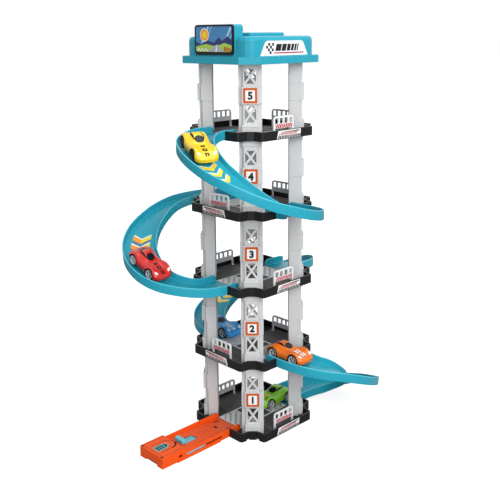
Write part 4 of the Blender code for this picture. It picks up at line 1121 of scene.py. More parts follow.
@dataclass
class Ramp:
    """One turn of the track, swept finely along its line: bed, side walls and tongues, banked as it falls."""

    index: int
    track: Track
    half: float = 0.02105
    wall: float = 0.0016
    bed_low: float = 0.0023
    bed_top: float = 0.0036
    skirt: float = 0.0020
    rise: float = 0.0078
    fillet: float = 0.0007
    lip_share: float = 0.45
    tongue_round: float = 0.0045
    seat: float = 0.0003
    sliver: float = 0.00002
    round_steps: int = 6
    bend_steps: int = 36
    bed_strips: int = 10
    smooth: float = 32.0
    # left, low, right and high edge in plan, at the upper tongue
    slot: tuple[float, float, float, float] = (0.0140, -0.0550, 0.0156, -0.0470)
    slot_low: float = 0.0010
    slot_high: float = 0.0049

    FALL = ((0.0, 0.0), (0.2, 0.097), (0.4, 0.376), (0.6, 0.696), (0.8, 0.915), (1.0, 1.0))
    BANK = ((0.0, 0.0), (0.16, 0.0), (0.33, -3.0), (0.5, -4.2), (0.67, -1.8), (0.84, 0.0), (1.0, 0.0))
    # places in the section's order of the faces on the two lips, which get the painted highlight
    LIPS = (*range(3, 10), *range(28, 35))

    def stations(self) -> list[tuple[float, float, float]]:
        """Distance along the line, lower edge and upper edge of the walls, from one tongue's end to the other's.

        Returns:
            The stations in order.
        """
        high, thin, low = self.bed_top + self.rise, self.bed_low - self.sliver, self.bed_low - self.skirt
        ends = []
        for step in range(self.round_steps + 1):
            turn = math.radians(90.0 * step / self.round_steps)
            ahead = self.tongue_round * (1.0 - math.cos(turn))
            ends.append((ahead - SIZES.tongue, thin, high - self.tongue_round * (1.0 - math.sin(turn))))
        ends += [(self.seat - self.sliver / 2, thin, high), (self.seat, low, high)]
        middle = [self.track.lead]
        for radius in self.track.bends():
            start, length = middle[-1], math.pi / 2 * radius
            middle += [start + length * (step + 1) / self.bend_steps for step in range(self.bend_steps)]
        run = self.track.run()
        body = [(distance, low, high) for distance in middle]
        return ends + body + [(run - distance, *edges) for distance, *edges in reversed(ends)]

    def profile(self, low: float, high: float) -> Outline:
        """Closed section between the walls' lower and upper edges, with small rounds at the lips and the bed.

        Args:
            low: height of the lower edge.
            high: height of the upper edge.

        Returns:
            The section's corners in order.
        """
        inner, turn = self.half - self.wall, self.fillet
        lip = min(turn, self.wall * self.lip_share)
        right = [(inner, self.bed_low), (inner, low), (self.half, low)]
        right += arc((self.half - lip, high - lip), lip, 0.0, 90.0, 3)
        right += arc((inner + lip, high - lip), lip, 90.0, 180.0, 3)
        right += [(inner - x + inner, y) for x, y in arc((inner + turn, self.bed_top + turn), turn, 180.0, 270.0, 3)]
        left = [(-x, y) for x, y in reversed(right)]
        shares = [1.0 - 2.0 * step / self.bed_strips for step in range(1, self.bed_strips)]
        bed = [((inner - turn) * share, self.bed_top) for share in shares]
        return right + bed + left + [(-inner * share, self.bed_low) for share in shares]

    def section(self, distance: float, low: float, high: float) -> list[Vector]:
        """The profile at a distance along the line, banked and lowered.

        Args:
            distance: the distance.
            low: height of the lower edge.
            high: height of the upper edge.

        Returns:
            Its points in the top ramp's frame.
        """
        share = distance / self.track.run()
        bank = math.radians(flowing_value(self.BANK, share))
        drop = SIZES.pitch * flowing_value(self.FALL, share)
        points = []
        for across, up in self.profile(low, high):
            spot = self.track.point(distance, across * math.cos(bank) - up * math.sin(bank))
            spot.z = across * math.sin(bank) + up * math.cos(bank) - drop
            points.append(spot)
        return points

    def slots(self) -> bpy.types.Object:
        """Cutter for the slot in each tongue.

        Returns:
            The cutter.
        """
        form = Form("tongue_slots")
        near, back, wide, front = self.slot
        form.slab(rectangle(near, back, wide, front), self.slot_low, self.slot_high, Matrix.Identity(4), TRACK)
        far_end = raised(-SIZES.pitch) @ turned(90.0)
        form.slab(rectangle(-wide, back, -near, front), self.slot_low, self.slot_high, far_end, TRACK)
        return form.build("tower")

    def build(self) -> None:
        """Make the ramp in place of the plain one."""
        name = f"{5 - self.index}_to_{4 - self.index}"
        form = Form(f"spiral_track_{name}")
        rows = [self.section(*station) for station in self.stations()]
        form.grid(rows, TRACK, closed=True)
        ring = len(rows[0])
        # the lips' faces get the painted highlight
        form.shades = [form.shade(LIP_HIGHLIGHT if index % ring in self.LIPS else TRACK) for index in range(len(form.faces))]
        form.caps(ring, TRACK)
        piece = form.build("tower", smooth=self.smooth)
        carve(piece, self.slots(), self.smooth)
        piece.data.transform(raised(SIZES.level(5 - self.index)) @ turned(-90.0 * self.index))
        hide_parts(f"ramp_{name}")


@dataclass
class Chevron:
    """Arrow print that lies on a ramp's bed and points down the track."""

    name: str
    ramp: int
    distance: float
    length: float = 0.0042
    sweep: float = 0.0060
    inner: Finish = YELLOW_INK
    outer: Finish = YELLOW_INK
    shadow: float = 0.0
    half_width: float = 0.0115
    lead: float = 0.0016
    lift: float = 0.00026
    half_steps: int = 8
    length_steps: int = 3

    def stripe(self, start: float, end: float, half: int, at: Callable[[float, float], Vector]) -> list[list[Vector]]:
        """Rows of one half of a stripe of the arrow.

        Args:
            start: where the stripe begins, in metres down the track from the arrow's upper edge.
            end: where it ends.
            half: 1 for the outer half and -1 for the inner one.
            at: point on the bed for a distance along the track and an offset.

        Returns:
            Rows from the arrow's middle outwards, in the order that makes them face up.
        """
        rows = []
        for step in range(self.half_steps + 1):
            share = step / self.half_steps
            begin = self.distance - self.sweep * share + start
            parts = [begin + (end - start) * part / self.length_steps for part in range(self.length_steps + 1)]
            row = [at(along, half * self.half_width * share) for along in parts]
            rows.append(row if half < 0 else row[::-1])
        return rows

    def build(self, track: Track) -> None:
        """Make the arrow as thin strips laid on the bed.

        Args:
            track: centre line of the ramps.
        """
        data = bpy.data.objects[f"spiral_track_{5 - self.ramp}_to_{4 - self.ramp}"].data
        faces = [tuple(polygon.vertices) for polygon in data.polygons]
        tree = BVHTree.FromPolygons([vertex.co.copy() for vertex in data.vertices], faces)
        turn, top = turned(-90.0 * self.ramp), (4 - self.ramp) * SIZES.pitch
        stripes = [(0.0, self.length, None), (-self.lead, 0.0, WHITE_INK)]
        if self.shadow > 0.0:
            stripes.append((self.length, self.length + self.shadow, SHADE_INK))
        form = Form(self.name)
        for start, end, ink in stripes:
            for half in (-1, 1):
                rows = self.stripe(start, end, half, lambda *at: self._on_bed(tree, turn @ track.point(*at), top))
                form.grid(rows, ink or (self.outer if half > 0 else self.inner))
        form.build("tower", "track_plastic", smooth=60.0)

    def _on_bed(self, tree: BVHTree, plan: Vector, top: float) -> Vector:
        """Point on the ramp's bed under a plan position, just above the plastic.

        Args:
            tree: the ramp's faces.
            plan: the position in plan.
            top: height of the ramp's upper end.

        Returns:
            The point.
        """
        above, step, reach, level = 0.020, 0.002, 0.004, 0.5
        for guess in range(60):
            start = Vector((plan.x, plan.y, top + above - guess * step))
            hit, normal, _, _ = tree.ray_cast(start, Vector((0, 0, -1)), reach)
            if hit is not None and normal.z > level:
                return hit + Vector((0.0, 0.0, self.lift))
        return Vector((plan.x, plan.y, top))


@dataclass
class RoofDress:
    """Sign on the roof's right side and the picture on the screen, each in its own wall's frame."""

    sign_out: float = 0.0545
    sign_low: float = 0.4550
    check: float = 0.0030
    check_start: Point = (-0.0300, 0.0018)
    check_lean: float = 0.0003
    bar_start: Point = (-0.0150, 0.0050)
    bar_high: float = 0.0126
    bar_lean: float = 0.0022
    bar_gap: float = 0.0012
    bar_widths: tuple[float, ...] = (0.0085, 0.0070, 0.0056, 0.0043, 0.0031, 0.0020)
    screen_out: float = 0.05742
    screen_low: float = 0.4594
    screen_half: float = 0.0297
    screen_height: float = 0.0276
    screen_corner: float = 0.0032
    beam_lean: float = 0.0170
    sun: Point = (-0.0150, 0.0185)
    margin: float = 0.0010
    tile: float = 0.0028
    block_pitch: float = 0.0030
    block_width: float = 0.0022
    block_low: float = 0.0008
    block_high: float = 0.0040
    block_step: float = 0.0006
    layer_rise: float = 0.000008
    layer_sunk: float = 0.000004
    layer_proud: float = 0.000030

    EDGE = ((-0.0385, 0.0), (0.0385, 0.0), (0.0325, 0.0117), (0.0307, 0.0148), (0.0273, 0.0162))
    EDGE += ((-0.0273, 0.0162), (-0.0307, 0.0148), (-0.0325, 0.0117))
    LINE = ((-0.0170, 0.0022), (0.0310, 0.0022), (0.0316, 0.0036), (-0.0166, 0.0036))
    BEAMS = ((-0.0270, 0.0030), (-0.0205, 0.0012), (0.0105, 0.0036), (0.0175, 0.0014), (0.0245, 0.0042))
    HILL = ((-0.0297, 0.0), (0.0297, 0.0), (0.0297, 0.0130), (0.0230, 0.0172), (0.0150, 0.0120))
    HILL += ((0.0085, 0.0158), (0.0010, 0.0100), (-0.0100, 0.0128), (-0.0210, 0.0088), (-0.0297, 0.0112))
    MEADOW = ((-0.0297, 0.0), (0.0297, 0.0), (0.0297, 0.0072), (0.0180, 0.0098), (0.0040, 0.0060))
    MEADOW += ((-0.0120, 0.0086), (-0.0297, 0.0058))
    SUN_RINGS = ((0.0074, WHITE_INK), (0.0064, GOLD_INK), (0.0040, YELLOW_INK))
    ROAD = ((-0.0110, 0.0), (0.0190, 0.0), (0.0075, 0.0078), (0.0045, 0.0078))
    ROAD_LINE = ((0.0025, 0.0), (0.0055, 0.0), (0.0062, 0.0074), (0.0058, 0.0074))

    def sign(self) -> None:
        """Make the white sign with a chequered flag, slanted bars and a red line."""
        place = wall_frame(Side.RIGHT.value, self.sign_out, self.sign_low)
        form = Form("roof_sign")
        form.slab(self.EDGE, 0.0, SHEET, place, WHITE_INK)
        for row in range(4):
            for column in range(4):
                if (row + column) % 2 == 0 and not (row == 0 and column < 2):
                    left = self.check_start[0] + column * self.check + row * self.check_lean
                    low = self.check_start[1] + row * self.check
                    square = rectangle(left, low, left + self.check, low + self.check)
                    form.ink(square, place, BLACK_INK)
        left, low = self.bar_start
        for width in self.bar_widths:
            form.ink(slanted(left, low, width, self.bar_high, self.bar_lean), place, BLACK_INK)
            left += width + self.bar_gap
        form.ink(self.LINE, place, RED_INK)
        form.build("tower", "track_plastic")

    def layers(self) -> list[tuple[Outline, Finish]]:
        """Outlines of the picture from back to front, each with its ink.

        Returns:
            The layers in order.
        """
        half, high = self.screen_half, self.screen_height
        layers = [(slanted(start, 0.0, width, high, self.beam_lean), BEAM_INK) for start, width in self.BEAMS]
        layers += [(self.HILL, NAVY_INK), (self.MEADOW, LEAF_INK)]
        layers += [(disc(self.sun, radius, 24), ink) for radius, ink in self.SUN_RINGS]
        layers += [(self.ROAD, GREY_INK), (self.ROAD_LINE, WHITE_INK)]
        for index in range(7):
            left, low = -half + self.margin + index * self.tile, self.block_low + (index % 2) * self.tile / 2
            layers.append((rectangle(left, low, left + self.tile, low + self.tile / 2), WHITE_INK))
        for index in range(4):
            right, top = half - self.margin - index * self.block_pitch, self.block_high + index * self.block_step
            layers.append((rectangle(right - self.block_width, self.block_low, right, top), ORANGE_INK))
        return layers

    def picture(self) -> None:
        """Make the picture: a road to low hills, a ringed sun and beams of light."""
        place = wall_frame(Side.FRONT.value, self.screen_out, self.screen_low)
        form = Form("screen_picture")
        border = rounded(-self.screen_half, 0.0, self.screen_half, self.screen_height, self.screen_corner)
        form.slab(border, 0.0, SHEET, place, SKY_INK)
        for order, (outline, ink) in enumerate(self.layers()):
            level = SHEET + order * self.layer_rise
            form.slab(outline, level - self.layer_sunk, level + self.layer_proud, place, ink, border)
        form.build("tower", "screen_plastic")

    def build(self) -> None:
        """Make both."""
        self.sign()
        self.picture()


def sloping(high: Point, low: Point) -> Matrix:
    """Frame on a slope at the front between two (distance out, height) points, with X and Y as in plan.

    Args:
        high: the upper point.
        low: the lower point.

    Returns:
        The frame, whose Z stands off the slope.
    """
    fall = math.atan2(high[1] - low[1], high[0] - low[0])
    tilt = Matrix.Rotation(-fall, 4, "X") @ Matrix.Translation((0.0, high[0], 0.0))
    return Matrix.Translation((0.0, -high[0], high[1])) @ tilt


@dataclass
class LauncherDress:
    """Arrow label of the launcher, with painted shade for its grooves, notches, faint lane marks and dark underside.
    """

    head_top: float = 0.0133
    groove_half: float = 0.0092
    groove_far: float = -0.1562
    groove_bend: float = -0.1395
    groove_width: float = 0.0009
    cut_width: float = 0.0019
    seam_width: float = 0.0006
    seam_out: float = 0.0182
    seam_half: float = 0.0158
    seam_far: float = -0.1605
    seam_near: float = -0.1315
    # near and far edge from the middle line, low and high edge
    notch: tuple[float, float, float, float] = (0.0160, 0.0198, -0.1627, -0.1607)
    bars_start: float = -0.1465
    bars_pitch: float = 0.0034
    line_proud: float = 0.00003
    cut_proud: float = 0.00004
    slope: tuple[Point, Point] = ((0.1305, 0.0080), (0.0740, 0.0072))
    lane: tuple[Point, Point] = ((0.0740, 0.0072), (0.0430, 0.0037))
    arc_halves: tuple[float, ...] = (0.0060, 0.0052, 0.0044)
    arc_start: float = -0.0935
    arc_pitch: float = 0.0062
    arc_bow: float = 0.0016
    arc_width: float = 0.0004
    # the dark sheet under the launcher is painted shade, where the open underside would otherwise show the floor
    # left, low, right and high edge
    liner_box: tuple[float, float, float, float] = (-0.0190, -0.1618, 0.0190, -0.0622)
    liner_low: float = 0.0004
    liner_high: float = 0.0009
    pin_hole: tuple[float, float, float, float] = (-0.0026, -0.0673, 0.0026, -0.0635)
    # near and far edge from the middle line, low and high edge
    lane_slot: tuple[float, float, float, float] = (0.0105, 0.0127, -0.0573, -0.0497)
    dark_low: float = 0.00002
    dark_high: float = 0.00007

    ARROW = ((-0.0058, -0.1572), (0.0058, -0.1572), (0.0058, -0.1443), (0.0015, -0.1385), (-0.0015, -0.1385))
    ARROW += ((-0.0058, -0.1443),)
    TIP = ((-0.0042, -0.1447), (0.0042, -0.1447), (0.0, -0.1397))
    BAR = ((-0.0043, -0.0026), (0.0, -0.0018), (0.0043, -0.0026), (0.0043, -0.0004), (0.0, 0.0004))
    BAR += ((-0.0043, -0.0004),)

    def label(self) -> None:
        """Make the arrow-shaped label with a black triangle and bars."""
        form = Form("launcher_label")
        place = raised(self.head_top)
        form.slab(self.ARROW, 0.0, SHEET, place, ARROW_INK)
        form.ink(self.TIP, place, BLACK_INK)
        for index in range(3):
            bar = [(x, self.bars_start - index * self.bars_pitch + y) for x, y in self.BAR]
            form.ink(bar, place, BLACK_INK)
        form.build("tower", "launcher_plastic")

    def grooves(self) -> None:
        """Make the groove round the label, its cut end and the head's corner notches, all drawn as painted shade."""
        form = Form("launcher_grooves")
        place = raised(self.head_top)
        bend = arc((0.0, self.groove_bend), self.groove_half, 0.0, 180.0, 18)
        ends = [(self.groove_half, self.groove_far), (-self.groove_half, self.groove_far)]
        for path in ([ends[0], bend[0]], [bend[-1], ends[1]]):
            form.band(path, self.groove_width, 0.0, self.line_proud, place, GROOVE_SHADE)
        form.band(bend[:9], self.cut_width, 0.0, self.cut_proud, place, CUT_SHADOW)
        form.band(bend[8:], self.groove_width, 0.0, self.line_proud, place, GROOVE_SHADE)
        for sign in (-1, 1):
            form.slab(beside(sign, *self.notch), 0.0, self.cut_proud, place, CUT_SHADOW)
            line = [(sign * self.seam_out, self.seam_far), (sign * self.seam_out, self.seam_near)]
            form.band(line, self.seam_width, 0.0, self.line_proud, place, GROOVE_SHADE)
        cross = [(-self.seam_half, self.seam_far), (self.seam_half, self.seam_far)]
        form.band(cross, self.seam_width, 0.0, self.line_proud, place, GROOVE_SHADE)
        form.build("tower", "launcher_plastic")

    def lane_marks(self) -> None:
        """Make the faint arcs moulded in the lane between the knob's window and the tower, drawn as painted shade."""
        form = Form("launcher_lane_marks")
        for index, half in enumerate(self.arc_halves):
            middle = self.arc_start + index * self.arc_pitch
            turns = [math.radians(angle) for angle in range(-80, 81, 20)]
            path = [(half * math.sin(turn), middle + self.arc_bow * math.cos(turn)) for turn in turns]
            form.band(path, self.arc_width, self.dark_low, SIZES.ink, sloping(*self.slope), GROOVE_SHADE)
        form.build("tower", "launcher_plastic")

    def liner(self) -> None:
        """Make the dark sheet under the launcher, painted shade that closes the open underside, and the painted shade
        in the lane's pin hole and slots.
        """
        form = Form("launcher_shade_sheet")
        form.slab(rectangle(*self.liner_box), self.liner_low, self.liner_high, Matrix.Identity(4), CHASSIS)
        for outline in (rectangle(*self.pin_hole), beside(-1, *self.lane_slot), beside(1, *self.lane_slot)):
            form.slab(outline, self.dark_low, self.dark_high, sloping(*self.lane), CUT_SHADOW)
        form.build("tower", "launcher_plastic")

    def build(self) -> None:
        """Make all of them."""
        self.label()
        self.grooves()
        self.lane_marks()
        self.liner()


class Marks(Enum):
    """Prints on a hood.

    Four numbers are a patch: its rear and front station and its right and left offset. Three are a ring: its
    station and its inner and outer radius.
    """

    RING_AND_BARS = (
        (0.0078, 0.0112, -0.0022, -0.0005), (0.0078, 0.0112, 0.0005, 0.0022), (0.0226, 0.0260, -0.0022, -0.0005),
        (0.0226, 0.0260, 0.0005, 0.0022), (0.0090, 0.0100, -0.0022, 0.0022), (0.0164, 0.0013, 0.0029),
        (0.0214, 0.0224, -0.0022, 0.0022),
    )
    PAIR = (
        (0.0088, 0.0160, -0.0032, -0.0010), (0.0176, 0.0236, -0.0032, -0.0010), (0.0088, 0.0160, 0.0010, 0.0032),
        (0.0176, 0.0236, 0.0010, 0.0032),
    )
    STRIPE = ((0.0080, 0.0250, -0.0022, 0.0022),)
    RING = ((0.0072, 0.0116, -0.0017, 0.0017), (0.0160, 0.0014, 0.0030), (0.0204, 0.0250, -0.0017, 0.0017))


@dataclass(frozen=True)
class CarStyle:
    """What tells one car from the next: paint, hood marks and rims."""

    name: str
    paint: Colour
    second: Colour
    marks: Marks
    mark_ink: Finish
    rim: Finish = RIM_METAL

    def finish(self) -> Finish:
        """The glossy paint.

        Returns:
            The finish.
        """
        return Finish(
            f"car_{self.name}_paint", self.paint, self.second, 0.26, coat=0.22, rough_spread=0.05, drift=0.45,
            wear=0.10, worn=(0.8, 0.8, 0.8), dust=0.010, grain_scale=6500.0, grain_depth=0.000004,
            edge_radius=0.0004, specular=0.40,
        )


@dataclass
class Car:
    """Small smooth coupe: shell with its cabin, glazing, lamps, hood marks and spoked wheels."""

    style: CarStyle
    half_length: float = 0.0289
    half_width: float = 0.0136
    flare: float = 0.0008
    flare_front: float = 0.0085
    flare_rear: float = 0.0090
    nose_power: float = 11.0
    tail_power: float = 8.0
    plan_power: float = 3.2
    end_power: int = 14
    end_drop: float = 0.50
    tuck: float = 0.05
    belly_power: float = 0.45
    soft_power: float = 5.0
    wing_power: float = 6.5
    wing_front: float = 0.0080
    wing_rear: float = 0.0085
    underside: float = 0.0027
    waist: float = 0.0074
    roof_rise: float = 0.0058
    axle: float = 0.01525
    wheel_radius: float = 0.0066
    wheel_outer: float = 0.0136
    wheel_width: float = 0.0050
    arch_gap: float = 0.0010
    arch_reach: float = 0.0040
    end_limit: float = 0.9990
    stations: int = 80
    upper_steps: int = 48
    lower_steps: int = 13
    crown_power: float = 2.5
    glass_proud: float = 0.00025
    windscreen_middle: Point = (-0.0010, 0.0)
    windscreen_half: Point = (0.0042, 0.0054)
    side_start: float = -0.0150
    side_length: float = 0.0140
    side_top: float = 0.0054
    side_depth: float = 0.0018
    side_taper: float = 0.0002
    side_lead: float = 0.06
    side_power: float = 0.6
    mark_proud: float = 0.00028
    lamp_middle: Point = (0.0234, 0.0090)
    lamp_half: Point = (0.0017, 0.0021)
    lamp_skew: float = -0.30
    lamp_proud: float = 0.00057
    lamp_edge: float = 0.00012
    spoke_turn: float = 0.3
    spoke_low: float = 0.0016
    spoke_high: float = 0.0006
    cap_radius: float = 0.0010
    cap_low: float = 0.0017
    cap_high: float = 0.0004
    shell_smooth: float = 50.0
    sheet_smooth: float = 60.0
    wheel_smooth: float = 40.0

    RIDGE = ((-0.0290, 0.0118), (-0.0240, 0.0130), (-0.0150, 0.0139), (0.0060, 0.0136), (0.0180, 0.0126))
    RIDGE += ((0.0230, 0.0117), (0.0265, 0.0106), (0.0290, 0.0092))
    ROOF = ((-0.0270, 0.0), (-0.0085, 1.0), (0.0068, 0.0))
    FLANK = ((0.0034, 1.0), (0.0110, 0.0))
    # rise, distance ahead of the axle, length, offset and width
    FRONT_WING = (0.0036, 0.0006, 0.0082, 0.0106, 0.0034)
    REAR_WING = (0.0025, 0.0, 0.0090, 0.0108, 0.0038)
    # station, half width and bow of the rear and of the front edge
    REAR_WINDOW = ((-0.0205, 0.0042, -0.0014), (-0.0150, 0.0050, -0.0010))
    SPOKE = ((0.0006, -0.00028), (0.0048, -0.00042), (0.0048, 0.00042), (0.0006, 0.00028))

    @property
    def name(self) -> str:
        """Name of the car's body, with which its pieces' names begin."""
        return f"car_{self.style.name}"

    def place(self) -> Matrix:
        """Where the car stands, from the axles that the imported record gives.

        Returns:
            Matrix from the car's frame to the tower's.
        """
        joints = {joint["name"]: joint for joint in frame["joints"]}
        front, rear = (joints[f"{self.name}_{end}_axle"] for end in ("front", "rear"))
        nose, tail = Vector(front["pos_m"]), Vector(rear["pos_m"])
        along = (nose - tail).normalized()
        up = along.cross(Vector(front["axis"]).normalized()).normalized()
        matrix = Matrix((along, up.cross(along), up)).transposed().to_4x4()
        matrix.translation = (nose + tail) / 2 - up * self.wheel_radius
        return matrix

    def width_at(self, x: float) -> float:
        """Half width at a station.

        Args:
            x: station along the car, forwards from its middle.

        Returns:
            The half width.
        """
        flare = self.flare * (bump(x, self.axle, self.flare_front) + bump(x, -self.axle, self.flare_rear))
        share = min(abs(x) / self.half_length, 1.0)
        power = self.nose_power if x > 0 else self.tail_power
        return (self.half_width + flare) * max(1.0 - share**power, 0.0) ** (1 / self.plan_power)

    def boxiness(self, x: float) -> float:
        """How square the section is: squarer over the wheels, so that the wings cover them."""
        wings = max(bump(x, self.axle, self.wing_front), bump(x, -self.axle, self.wing_rear))
        return self.soft_power + self.wing_power * wings

    def crown(self, x: float, y: float) -> float:
        """Height of the upper skin before its shoulders fall away: ridge, wings and cabin.

        Args:
            x: station along the car, forwards from its middle.
            y: offset from its middle plane.

        Returns:
            The height over the ground that the car stands on.
        """
        aside = abs(y)
        height = stepped_value(self.RIDGE, x)
        for axle, (rise, ahead, length, out, width) in ((self.axle, self.FRONT_WING), (-self.axle, self.REAR_WING)):
            height += rise * bump(x, axle + ahead, length) * bump(aside, out, width)
        return height + self.roof_rise * stepped_value(self.ROOF, x) * stepped_value(self.FLANK, aside)

    def end_fall(self, x: float) -> float:
        """Share of the height that is left at a station near the nose or the tail."""
        return max(1.0 - min(abs(x) / self.half_length, 1.0) ** self.end_power, 0.0) ** 0.5

    def over(self, x: float, y: float, proud: float = 0.0) -> Vector:
        """Point on or just above the upper skin, for a place in plan.

        Args:
            x: station along the car, forwards from its middle.
            y: offset from its middle plane.
            proud: height over the skin.

        Returns:
            The point in the car's frame.
        """
        share = min(abs(y) / max(self.width_at(x), 1e-6), 1.0)
        cosine = share ** (self.boxiness(x) / 2)
        sine = math.sqrt(max(1.0 - cosine * cosine, 0.0))
        rise = (self.crown(x, y) - self.waist) * self.end_fall(x)
        return Vector((x, y, self.waist + rise * sine ** (2 / self.crown_power) + proud))

    def section(self, x: float) -> list[Vector]:
        """Closed section of the shell at a station: over the top from right to left, then back below.

        Args:
            x: station along the car, forwards from its middle.

        Returns:
            Its points in order.
        """
        width = self.width_at(x)
        steps = range(self.upper_steps + 1)
        points = [self.over(x, width * math.sin(math.pi * (step / self.upper_steps - 0.5))) for step in steps]
        drop = (self.waist - self.underside) * (1.0 - self.end_drop * (1.0 - self.end_fall(x)))
        for step in range(1, self.lower_steps):
            turn = math.pi * step / self.lower_steps
            across = math.copysign(abs(math.cos(turn)) ** (2 / self.boxiness(x)), math.cos(turn))
            sine = math.sin(turn)
            out, down = width * across * (1.0 - self.tuck * sine), drop * sine**self.belly_power
            points.append(Vector((x, out, self.waist - down)))
        return points

    def arches(self) -> bpy.types.Object:
        """Cutter for the four wheel arches.

        Returns:
            The cutter.
        """
        form = Form("arches")
        side = Matrix(((1, 0, 0, 0), (0, 0, -1, 0), (0, 1, 0, 0), (0, 0, 0, 1)))
        inner = self.wheel_outer - self.wheel_width - self.arch_gap
        for along in (-self.axle, self.axle):
            circle = disc((along, self.wheel_radius), self.wheel_radius + self.arch_gap, 36)
            for sign in (-1, 1):
                low, high = sorted((-sign * inner, -sign * (self.half_width + self.arch_reach)))
                form.slab(circle, low, high, side, CHASSIS)
        return form.build(self.name)

    def shell(self) -> bpy.types.Object:
        """Painted body with cut wheel arches.

        Returns:
            The body.
        """
        form = Form(f"{self.name}_shell")
        limit = self.half_length * self.end_limit
        turns = [math.pi * step / self.stations for step in range(self.stations + 1)]
        rows = [self.section(max(min(-self.half_length * math.cos(turn), limit), -limit)) for turn in turns]
        form.grid(rows, self.style.finish(), closed=True)
        form.caps(len(rows[0]), self.style.finish())
        shell = form.build(self.name, smooth=self.shell_smooth)
        carve(shell, self.arches(), self.shell_smooth)
        return shell

    def lay(self, form: Form, finish: Finish, steps: tuple[int, int], at: Surface, closed: bool = False) -> None:
        """Add a thin surface that follows the skin.

        Args:
            form: what it is added to.
            finish: what it is made of.
            steps: how many steps it has for the first and for the second share.
            at: station, offset and height over the skin, for two shares from 0 to 1.
            closed: whether the second share runs round.
        """
        rows = []
        for row in range(steps[0] + 1):
            columns = range(steps[1] if closed else steps[1] + 1)
            rows.append([self.over(*at(row / steps[0], column / steps[1])) for column in columns])
        form.grid(rows, finish, closed)

    def oval(self, form: Form, finish: Finish, middle: Point, half: Point, heights: Point, skew: float = 0.0) -> None:
        """Add an oval that lies on the skin.

        Args:
            form: what it is added to.
            finish: what it is made of.
            middle: its station and its offset from the middle plane.
            half: half of its length and of its width.
            heights: how far its middle and its edge stand over the skin.
            skew: how far it leans forwards from its right to its left, as a share of the offset.
        """

        def at(part: float, around: float) -> tuple[float, float, float]:
            """Place for a share outwards and a share of the turn.

            Args:
                part: share of the way out.
                around: share of a turn.

            Returns:
                Station, offset and height over the skin.
            """
            turn = 2 * math.pi * around
            aside = part * half[1] * math.sin(turn)
            ahead = part * half[0] * math.cos(turn) + skew * aside
            return middle[0] + ahead, middle[1] + aside, heights[0] + (heights[1] - heights[0]) * part**2

        self.lay(form, finish, (8, 28), at, closed=True)

    def finished(self, form: Form) -> bpy.types.Object:
        """Make a sheet that lies on the skin, with its faces up.

        Args:
            form: mesh of the sheet.

        Returns:
            The sheet.
        """
        piece = form.build(self.name, smooth=self.sheet_smooth)
        face_out(piece.data, upward=True)
        return piece

    def glazing(self) -> bpy.types.Object:
        """Small windscreen, a rear window with bowed edges and narrow side windows.

        Returns:
            The panes, as one piece.
        """
        form = Form(f"{self.name}_glazing")
        heights = (self.glass_proud, self.glass_proud)
        self.oval(form, GLAZING, self.windscreen_middle, self.windscreen_half, heights)

        def rear(side: float, share: float) -> tuple[float, float, float]:
            """Place on the rear window.

            Args:
                side: share of the way across.
                share: share of the way forwards.

            Returns:
                Station, offset and height over the skin.
            """
            across = 2 * side - 1
            station, half, bow = (start + (end - start) * share for start, end in zip(*self.REAR_WINDOW))
            return station - bow * across**2, half * across, self.glass_proud

        self.lay(form, GLAZING, (14, 9), rear)
        for sign in (-1, 1):

            def flank(share: float, edge: float) -> tuple[float, float, float]:
                """Place on the side window.

                Args:
                    share: share of the way forwards.
                    edge: share of the way down.

                Returns:
                    Station, offset and height over the skin.
                """
                turn = math.pi * (self.side_lead + (1.0 - self.side_lead) * share)
                swell = max(math.sin(turn), 0.0) ** self.side_power
                out = self.side_top + (self.side_depth * edge - self.side_taper) * swell
                return self.side_start + self.side_length * share, sign * out, self.glass_proud

            self.lay(form, GLAZING, (12, 3), flank)
        return self.finished(form)

    def lamps(self) -> bpy.types.Object:
        """Headlamps: glossy ovals on the front of the wings.

        Returns:
            The lamps, as one piece.
        """
        form = Form(f"{self.name}_lamps")
        for sign in (-1, 1):
            middle = (self.lamp_middle[0], sign * self.lamp_middle[1])
            heights = (self.lamp_proud, self.lamp_edge)
            self.oval(form, LAMP, middle, self.lamp_half, heights, self.lamp_skew * sign)
        return self.finished(form)

    def marks(self) -> bpy.types.Object:
        """Hood marks: plain bars, rings and stripes, with no lettering.

        Returns:
            The marks, as one piece.
        """
        form = Form(f"{self.name}_marks")
        for mark in self.style.marks.value:

            def patch(across: float, along: float) -> tuple[float, float, float]:
                """Place on a patch."""
                back, front, left, right = mark
                return back + (front - back) * along, left + (right - left) * across, self.mark_proud

            def ring(part: float, around: float) -> tuple[float, float, float]:
                """Place on a ring.

                Args:
                    part: share of the way out.
                    around: share of a turn.

                Returns:
                    Station, offset and height over the skin.
                """
                station, inner, outer = mark
                radius, turn = inner + (outer - inner) * part, 2 * math.pi * around
                return station + radius * math.cos(turn), radius * math.sin(turn), self.mark_proud

            if len(mark) == 4:
                self.lay(form, self.style.mark_ink, (6, 8), patch)
            else:
                self.lay(form, self.style.mark_ink, (3, 28), ring, closed=True)
        return self.finished(form)

